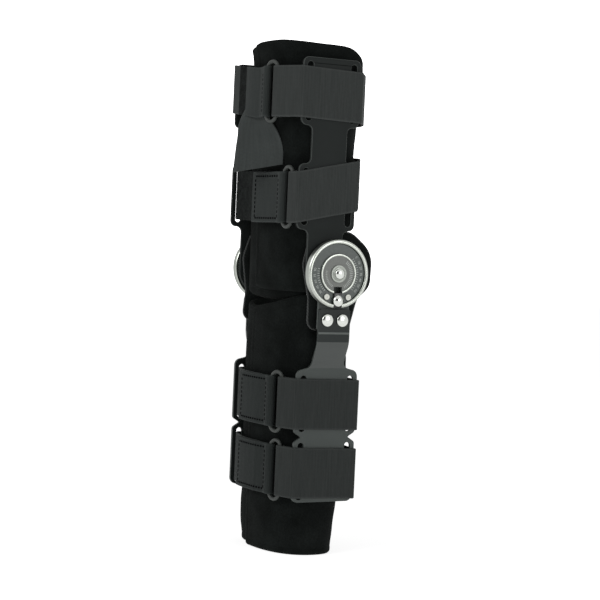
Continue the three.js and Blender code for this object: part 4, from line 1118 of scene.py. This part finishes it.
# The calf tabs likewise: painted shade, a darker copy of the tab webbing
shaded_calf_tab_web = webbing("darker grey tab webbing", "#191d1c", "#2f3332", "#353938")
tail_web = webbing("grey webbing of the strap end", "#2f3332", "#4c504f", "#525655", (26, 380, 1))

# Hook tape on the inner ends of the two thigh straps: moulded hooks 1.4 mm apart, darker and mottled. On
# the top strap the span also reaches into the stretch beside its tab's inner end as painted shade.
hook_tape_and_shade, tree = new_material("moulded nylon hook tape")
lie = node(tree, "Attribute", {}, attribute_name="lie").outputs["Vector"]
hooks = node(tree, "TexVoronoi", {"Vector": lie, "Scale": 710.0, "Randomness": 0.6})
worn = node(tree, "TexNoise", {"Vector": lie, "Scale": 160.0, "Detail": 3.0})
both = node(tree, "Math", {0: hooks.outputs["Distance"], 1: worn.outputs["Fac"]}, operation="MULTIPLY")
shade = node(tree, "MapRange", {"Value": both.outputs[0], "From Min": 0.05, "From Max": 0.4})
tone = node(tree, "Mix", {0: shade.outputs[0], 6: colour("#0a0b0b"), 7: colour("#232625")},
            data_type="RGBA")
relief = node(tree, "Bump", {"Height": hooks.outputs["Distance"], "Strength": 0.6, "Distance": 0.0005})
finish_material(tree, Base_Color=tone.outputs[2], Roughness=0.8, Normal=relief.outputs[0],
                Specular_IOR_Level=0.03)
HOOK_AND_SHADE_SPANS = {1: (-63, -30), 2: (-68, -8)}

tab_rows = {}
for number, strap in enumerate(STRAPS, 1):
    thigh = strap["z"] > KNEE_Z
    bar, form, body = (UPPER, THIGH_FORM, "thigh") if thigh else (LOWER, CALF_FORM, "calf")
    rows = upright_rows(strap_line(strap, bar, form), strap)
    band, length = lay_band(f"webbing_strap_{number}", rows, number)
    band.data.materials.append(thigh_web if thigh else shaded_calf_web)
    # On the top strap part of this span is painted shade: the dark stretch beside its tab's inner end
    if number in HOOK_AND_SHADE_SPANS:
        start, end = HOOK_AND_SHADE_SPANS[number]
        band.data.materials.append(hook_tape_and_shade)
        for facet in band.data.polygons:
            if start < facet.center.x * 1000 < end and facet.center.y < 0:
                facet.material_index = 1
    fit(band, f"strap_{number}", body)
    tab_rows[number] = upright_rows(tab_line(strap, bar, form), strap)
    band, length = lay_band(f"webbing_tab_{number}", tab_rows[number], number + 10)
    band.data.materials.append(thigh_tab_web if thigh else shaded_calf_tab_web)
    fit(band, f"tab_{number}", body)


# Wire loops: 3.8 mm steel rod bent to a long oval and coated dark grey, one at the front of each strap.
# Each is a torus whose two halves are moved apart.
wire_coat = powder_coat("grey coated steel wire", "#373a38", "#494c4a", 0.36)
LOOP = {"wire": 1.9, "height": 64, "segments": 60}
for number, strap in enumerate(STRAPS, 1):
    bar, body = (UPPER, "thigh") if strap["z"] > KNEE_Z else (LOWER, "calf")
    middle, along, _, _ = loop_frame(strap, bar)
    bpy.ops.object.select_all(action="DESELECT")
    bpy.ops.mesh.primitive_torus_add(major_segments=LOOP["segments"], minor_segments=20,
                                     major_radius=LOOP_BAR / 1000, minor_radius=LOOP["wire"] / 1000)
    loop = bpy.context.object
    loop.name = loop.data.name = f"wire_loop_{number}"
    loop.data.transform(Matrix.Rotation(math.pi / LOOP["segments"], 4, "Z"))
    apart = (LOOP["height"] / 2 - LOOP_BAR - LOOP["wire"]) / 1000
    for vertex in loop.data.vertices:
        vertex.co.y += math.copysign(apart, vertex.co.y)
    stand = Matrix.Rotation(math.atan2(along[1], along[0]), 4, "Z") @ Matrix.Rotation(math.pi / 2, 4, "X")
    loop.data.transform(Matrix.Translation(metres(*middle, strap["z"])) @ stand)
    loop.data.materials.append(wire_coat)
    pick(loop)
    bpy.ops.object.shade_smooth()
    fit(loop, f"ring_{number}", body)


# Tab stitching: bonded nylon thread, lockstitched in a box through both layers of each tab. On the
# top tab only the row beside the loop is sewn. The stitches are drawn thicker than real to show, and
# the thread's plies slant every 0.9 mm.
thread, tree = new_material("black bonded nylon thread")
at = node(tree, "TexCoord", {}).outputs["Object"]
ply = node(tree, "TexWave", {"Vector": at, "Scale": 420.0}, bands_direction="DIAGONAL")
tone = node(tree, "Mix", {0: ply.outputs["Fac"], 6: colour("#030404"), 7: colour("#0a0b0b")},
            data_type="RGBA")
finish_material(tree, Base_Color=tone.outputs[2], Roughness=0.9, Specular_IOR_Level=0.02)
STITCH = {"length": 3.3, "pitch": 4.5, "half_width": 1.05, "rise": 0.6, "sunk": 0.1}
# Half height of the sewn box, its place from the tab's end, and from the fold (on the top tab further)
SEWN = {"half": 21.3, "from_end": 7.0, "from_fold": 11.5, "top_from_fold": 16}


def row_at(rows, distance):
    """Middle, across, out and ahead of a band so far along it."""
    gone = 0.0
    for (a, across, out), (b, _, out_b) in zip(rows, rows[1:]):
        step = np.linalg.norm(b - a)
        if gone + step >= distance:
            share = (distance - gone) / step
            return a + (b - a) * share, across, out + (out_b - out) * share, (b - a) / step
        gone += step


def stitch_line(points, faces, rows, start, end):
    """Adds a row of stitches from (distance, across) to (distance, across) on a tab's outer face."""
    start, end = np.array(start, float), np.array(end, float)
    span = np.linalg.norm(end - start)
    unit = (end - start) / span
    for k in range(int(span / STITCH["pitch"])):
        centre = start + unit * STITCH["pitch"] * (k + 0.5)
        middle, across, inwards, ahead = row_at(rows, centre[0])
        out = -inwards
        lie = ahead * unit[0] + across * unit[1]
        wide = np.cross(lie, out)
        base = middle + across * centre[1] + out * (WEB_WALL / 2 - STITCH["sunk"])
        first = len(points)
        for along in (-1, -0.6, 0, 0.6, 1):
            swell = math.sqrt(max(0.06, 1 - along ** 4))
            spine = base + lie * along * STITCH["length"] / 2
            for turn_at in (0, 60, 120, 180):
                c, s = math.cos(math.radians(turn_at)), math.sin(math.radians(turn_at))
                points.append(spine + wide * c * STITCH["half_width"] * swell
                              + out * (s * STITCH["rise"] * swell))
        for i in range(4):
            for j in range(4):
                a, b = first + i * 4 + j, first + i * 4 + (j + 1) % 4
                faces.append((a, b, b + 4, a + 4))
        faces.append(tuple(first + j for j in (3, 2, 1, 0)))
        faces.append(tuple(first + 16 + j for j in (0, 1, 2, 3)))


for number, rows in tab_rows.items():
    body = "thigh" if STRAPS[number - 1]["z"] > KNEE_Z else "calf"
    reach = sum(np.linalg.norm(b[0] - a[0]) for a, b in zip(rows, rows[1:]))
    half, near = SEWN["half"], SEWN["from_end"]
    far = reach / 2 - SEWN["top_from_fold" if number == 1 else "from_fold"]
    points, faces = [], []
    stitch_line(points, faces, rows, (far, -half), (far, half))
    if number > 1:
        stitch_line(points, faces, rows, (near, -half), (near, half))
        for side in (-half, half):
            stitch_line(points, faces, rows, (near, side), (far, side))
    sewing = add_mesh(f"tab_stitching_{number}", points, faces)
    clean(sewing, 60)
    sewing.data.materials.append(thread)
    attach(sewing, body)


# Free strap end: the spare end of the top strap, of the same webbing a little paler. It comes out
# under its tab, is cupped there, and hangs twisted to the front.
# Height, place across and in depth, and turn
TAIL = np.array([(470, -9, -52.3, 0), (442, -10, -52.3, 0), (434, -2.5, -55, 13), (420, 10.5, -60, 30),
                 (407, 16.5, -61.5, 43), (388.8, 22.4, -64.6, 54)], float)
TAIL_SLANT = 0.2
TAIL_STEPS = 40
CUP = {"depth": 7, "z": 441, "reach": 13, "across": (4, 26)}


def tail_rows():
    """Rows of the hanging band, smoothed between the rows of its table."""
    levels = np.linspace(0, len(TAIL) - 1, TAIL_STEPS + 1)
    rows = np.stack([np.interp(levels, np.arange(len(TAIL)), column) for column in TAIL.T], axis=1)
    wide = np.pad(rows, ((3, 3), (0, 0)), mode="edge")
    rows = np.stack([np.convolve(column, np.ones(7) / 7, mode="valid") for column in wide.T], axis=1)
    made = []
    for i, (z, x, y, turned_by) in enumerate(rows):
        angle = math.radians(turned_by)
        across = np.array([math.cos(angle), math.sin(angle), TAIL_SLANT * i / TAIL_STEPS])
        out = np.array([math.sin(angle), -math.cos(angle), 0])
        made.append((np.array([x, y, z]), across, out))
    return made


tail, length = lay_band("strap_end_hanging", tail_rows(), 31)
middle_depth = front_depth(THIGH_FORM, 0, TAIL[0, 0])
for vertex, lie in zip(tail.data.vertices, tail.data.attributes["lie"].data):
    held = 1 - min(lie.vector[0] / length, 1)
    x = vertex.co.x * 1000
    vertex.co.y += (middle_depth - front_depth(THIGH_FORM, x, TAIL[0, 0])) * held / 1000
    cupped = CUP["depth"] * smoothstep(-lie.vector[1] * 1000, *CUP["across"])
    cupped *= math.exp(-((vertex.co.z * 1000 - CUP["z"]) / CUP["reach"]) ** 2)
    vertex.co.y -= cupped / 1000
tail.data.materials.append(tail_web)
fit(tail, "strap_tail", "thigh")
